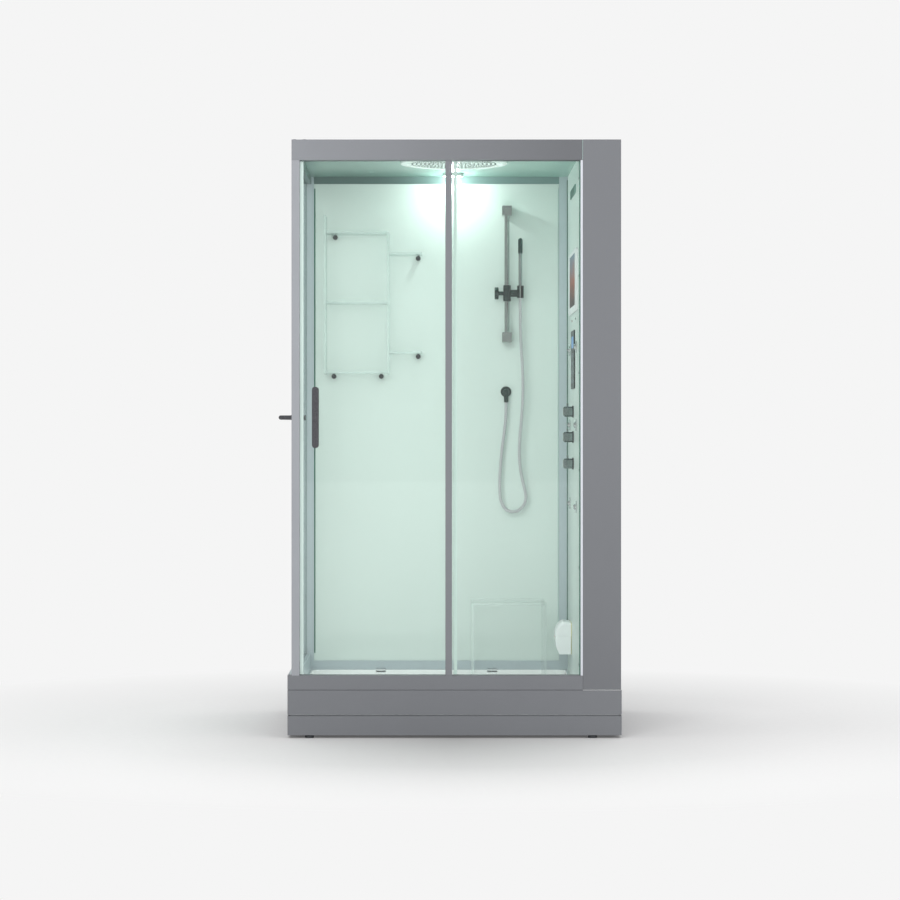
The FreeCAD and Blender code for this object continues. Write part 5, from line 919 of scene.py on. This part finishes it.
BACKGROUND = linear(245, 245, 245)
SURROUND_LIGHT = 0.56               # strength of the surround as a light
FLOOR_HALF = 40.0                   # half the width of the floor
FLOOR_NEAR = (2.6, 2.2)             # half sizes of the oval in which the floor's own shading is seen
FLOOR_SHOWN = 0.9                   # share of that shading, the rest being the background's colour
FLOOR_SHADOW = (1.3, 2.3)              # half sizes of the oval of painted shadow under the cabin, about its front edge
FRONT = -0.45                       # Y of the cabin's front edge

# Soft lamps: name, place, the point looked at, share of the key light's power, width and height.
SOFT_LAMPS = (
    ("key", (-1.6, -6.0, 3.4), (0, 0, 1.1), 1.0, 3.6, 3.0),
    ("fill", (3.4, -4.6, 1.8), (0, 0, 1.0), 0.45, 2.6, 3.0),
    ("overhead", (0, 0.4, 5.2), (0, 0, 0), 0.7, 5.0, 4.0),
)
INSIDE_PLACE, INSIDE_AIM, INSIDE_SIZE = (-0.05, -0.32, 1.25), (-0.05, 0.44, 1.25), (0.7, 1.7)
DOWNLIGHT_DROP = 0.02               # from the ceiling light's underside down to its lamp
DOWNLIGHT_RADIUS = 0.018
DOWNLIGHT_TINT = (0.96, 1.0, 0.985)

CAMERA_PLACE = (-0.074, -9.55, 1.132)
CAMERA_LENS = 101.4                 # millimetres, to a sensor 36 mm wide
CAMERA_SHIFT = (0.0178, -0.03)


def oval(east, north, size):
    """How far out a place lies: zero in the middle and one on the edge of an oval with these half sizes."""
    return ((east / size[0]) ** 2.0 + (north / size[1]) ** 2.0) ** 0.5


class CABIN_OT_stage(bpy.types.Operator):
    """Pale floor, soft lights and the camera of the photograph."""

    bl_idname = "cabin.stage"
    bl_label = "Floor, lights and camera"

    def execute(self, context):
        """Floor and world first, then lamps, then the camera."""
        self.floor()
        self.world()
        self.lamps()
        self.camera()
        return {"FINISHED"}

    def floor(self):
        """A wide plane whose own shading is seen near the cabin, and the background's colour further off."""
        corners = [(x * FLOOR_HALF, y * FLOOR_HALF, 0) for x, y in ((-1, -1), (1, -1), (1, 1), (-1, 1))]
        plane = add_mesh("floor", corners, [range(4)])
        finish = Finish("floor_paper")
        east, north, _ = finish.axes()
        near = 1 - oval(east, north, FLOOR_NEAR).ramp(0.55, 1.0)
        # Painted shadow: the floor darkens in an oval about the cabin's front edge.
        painted_shadow = (1 - oval(east, north - FRONT, FLOOR_SHADOW)).ramp(0.0, 1.0) ** 1.6
        tone = finish.mix(painted_shadow, finish.shade((0.8, 0.8, 0.8), 0.01, finish.noise(40.0)), (0.42, 0.42, 0.42))
        paper = finish.principled(tone, Roughness=0.9, Specular_IOR_Level=0.1)
        distant = finish.node("Emission", None, {"Color": (*BACKGROUND, 1.0), "Strength": 1.0})
        seen = finish.node("LightPath", output="Is Camera Ray")
        for kind in ("Is Glossy Ray", "Is Transmission Ray"):
            seen = seen.maths("MAXIMUM", seen, finish.node("LightPath", output=kind))
        factor = seen * (1 - near * FLOOR_SHOWN)
        material = finish.show(finish.node("MixShader", None, {0: factor, 1: paper, 2: distant}))
        plane.data.materials.append(material)

    def world(self):
        """An even, pale surround, a little dimmer as light than as background."""
        world = bpy.data.worlds.new("surround")
        world.use_nodes = True
        tree = world.node_tree
        tree.nodes.clear()
        light = tree.nodes.new("ShaderNodeBackground")
        light.inputs["Color"].default_value = (1.0, 1.0, 1.0, 1.0)
        light.inputs["Strength"].default_value = SURROUND_LIGHT
        shown = tree.nodes.new("ShaderNodeBackground")
        shown.inputs["Color"].default_value = (*BACKGROUND, 1.0)
        path = tree.nodes.new("ShaderNodeLightPath")
        mix = tree.nodes.new("ShaderNodeMixShader")
        out = tree.nodes.new("ShaderNodeOutputWorld")
        tree.links.new(path.outputs["Is Camera Ray"], mix.inputs[0])
        tree.links.new(light.outputs[0], mix.inputs[1])
        tree.links.new(shown.outputs[0], mix.inputs[2])
        tree.links.new(mix.outputs[0], out.inputs["Surface"])
        bpy.context.scene.world = world

    def lamp(self, name, kind, place, aim, power, **settings):
        """One lamp that looks at a point; only a point lamp shows in reflections."""
        data = bpy.data.lights.new(name, kind)
        data.energy = power
        for key, value in settings.items():
            setattr(data, key, value)
        holder = bpy.data.objects.new(name, data)
        holder.location = place
        look = Vector(aim) - Vector(place)
        holder.rotation_euler = look.to_track_quat("-Z", "Y").to_euler()
        holder.visible_glossy = kind == "POINT"
        bpy.context.scene.collection.objects.link(holder)
        return holder

    def lamps(self):
        """Three soft lamps round the cabin, a weak one inside its door, and its own downlight."""
        for name, place, aim, share, wide, tall in SOFT_LAMPS:
            shape = {"shape": "RECTANGLE", "size": wide, "size_y": tall}
            self.lamp(name, "AREA", place, aim, sizes().key_watts * share, **shape)
        shape = {"shape": "RECTANGLE", "size": INSIDE_SIZE[0], "size_y": INSIDE_SIZE[1]}
        inside = self.lamp("inside", "AREA", INSIDE_PLACE, INSIDE_AIM, sizes().inside_watts, **shape)
        inside.visible_camera = False
        low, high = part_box("ceiling_light")
        x, y = (low.x + high.x) / 2, (low.y + high.y) / 2
        place, look = (x, y, low.z - DOWNLIGHT_DROP), {"shadow_soft_size": DOWNLIGHT_RADIUS, "color": DOWNLIGHT_TINT}
        self.lamp("downlight", "POINT", place, (x, y, 0), sizes().lamp_watts, **look)

    def camera(self):
        """The photograph's own view: level, from in front, framed by a small shift."""
        data = bpy.data.cameras.new("photograph")
        data.sensor_width = 36.0
        data.lens = CAMERA_LENS
        data.shift_x, data.shift_y = CAMERA_SHIFT
        holder = bpy.data.objects.new("photograph", data)
        holder.location = CAMERA_PLACE
        holder.rotation_euler = (math.pi / 2, 0, 0)
        bpy.context.scene.collection.objects.link(holder)
        bpy.context.scene.camera = holder
        bpy.context.scene.view_settings.view_transform = "Standard"


OPERATORS = (
    CABIN_OT_finishes,
    CABIN_OT_hose,
    CABIN_OT_rain_nozzles,
    CABIN_OT_jet_ports,
    CABIN_OT_panel_details,
    CABIN_OT_seals,
    CABIN_OT_stage,
)


class CABIN_PT_pieces(bpy.types.Panel):
    """Lists the sizes, the colours and the operators."""

    bl_idname = "CABIN_PT_pieces"
    bl_label = "Steam shower cabin"
    bl_space_type = "VIEW_3D"
    bl_region_type = "UI"
    bl_category = "Cabin"

    def draw(self, context):
        """A button for each operator, and a field for each property."""
        for group in (context.scene.cabin_sizes, context.scene.cabin_colours):
            for key in group.bl_rna.properties.keys():
                if key not in ("rna_type", "name"):
                    self.layout.prop(group, key)
        for operator in OPERATORS:
            self.layout.operator(operator.bl_idname)


CLASSES = (CabinSizes, CabinColours, *OPERATORS, CABIN_PT_pieces)


def register():
    """Registers the classes and the two groups of properties."""
    for kind in CLASSES:
        bpy.utils.register_class(kind)
    bpy.types.Scene.cabin_sizes = PointerProperty(type=CabinSizes)
    bpy.types.Scene.cabin_colours = PointerProperty(type=CabinColours)


def unregister():
    """Takes them away again."""
    del bpy.types.Scene.cabin_colours
    del bpy.types.Scene.cabin_sizes
    for kind in reversed(CLASSES):
        bpy.utils.unregister_class(kind)


def main():
    """Runs every operator in order."""
    register()
    for operator in OPERATORS:
        group, name = operator.bl_idname.split(".")
        getattr(getattr(bpy.ops, group), name)()


if __name__ == "__main__":
    main()
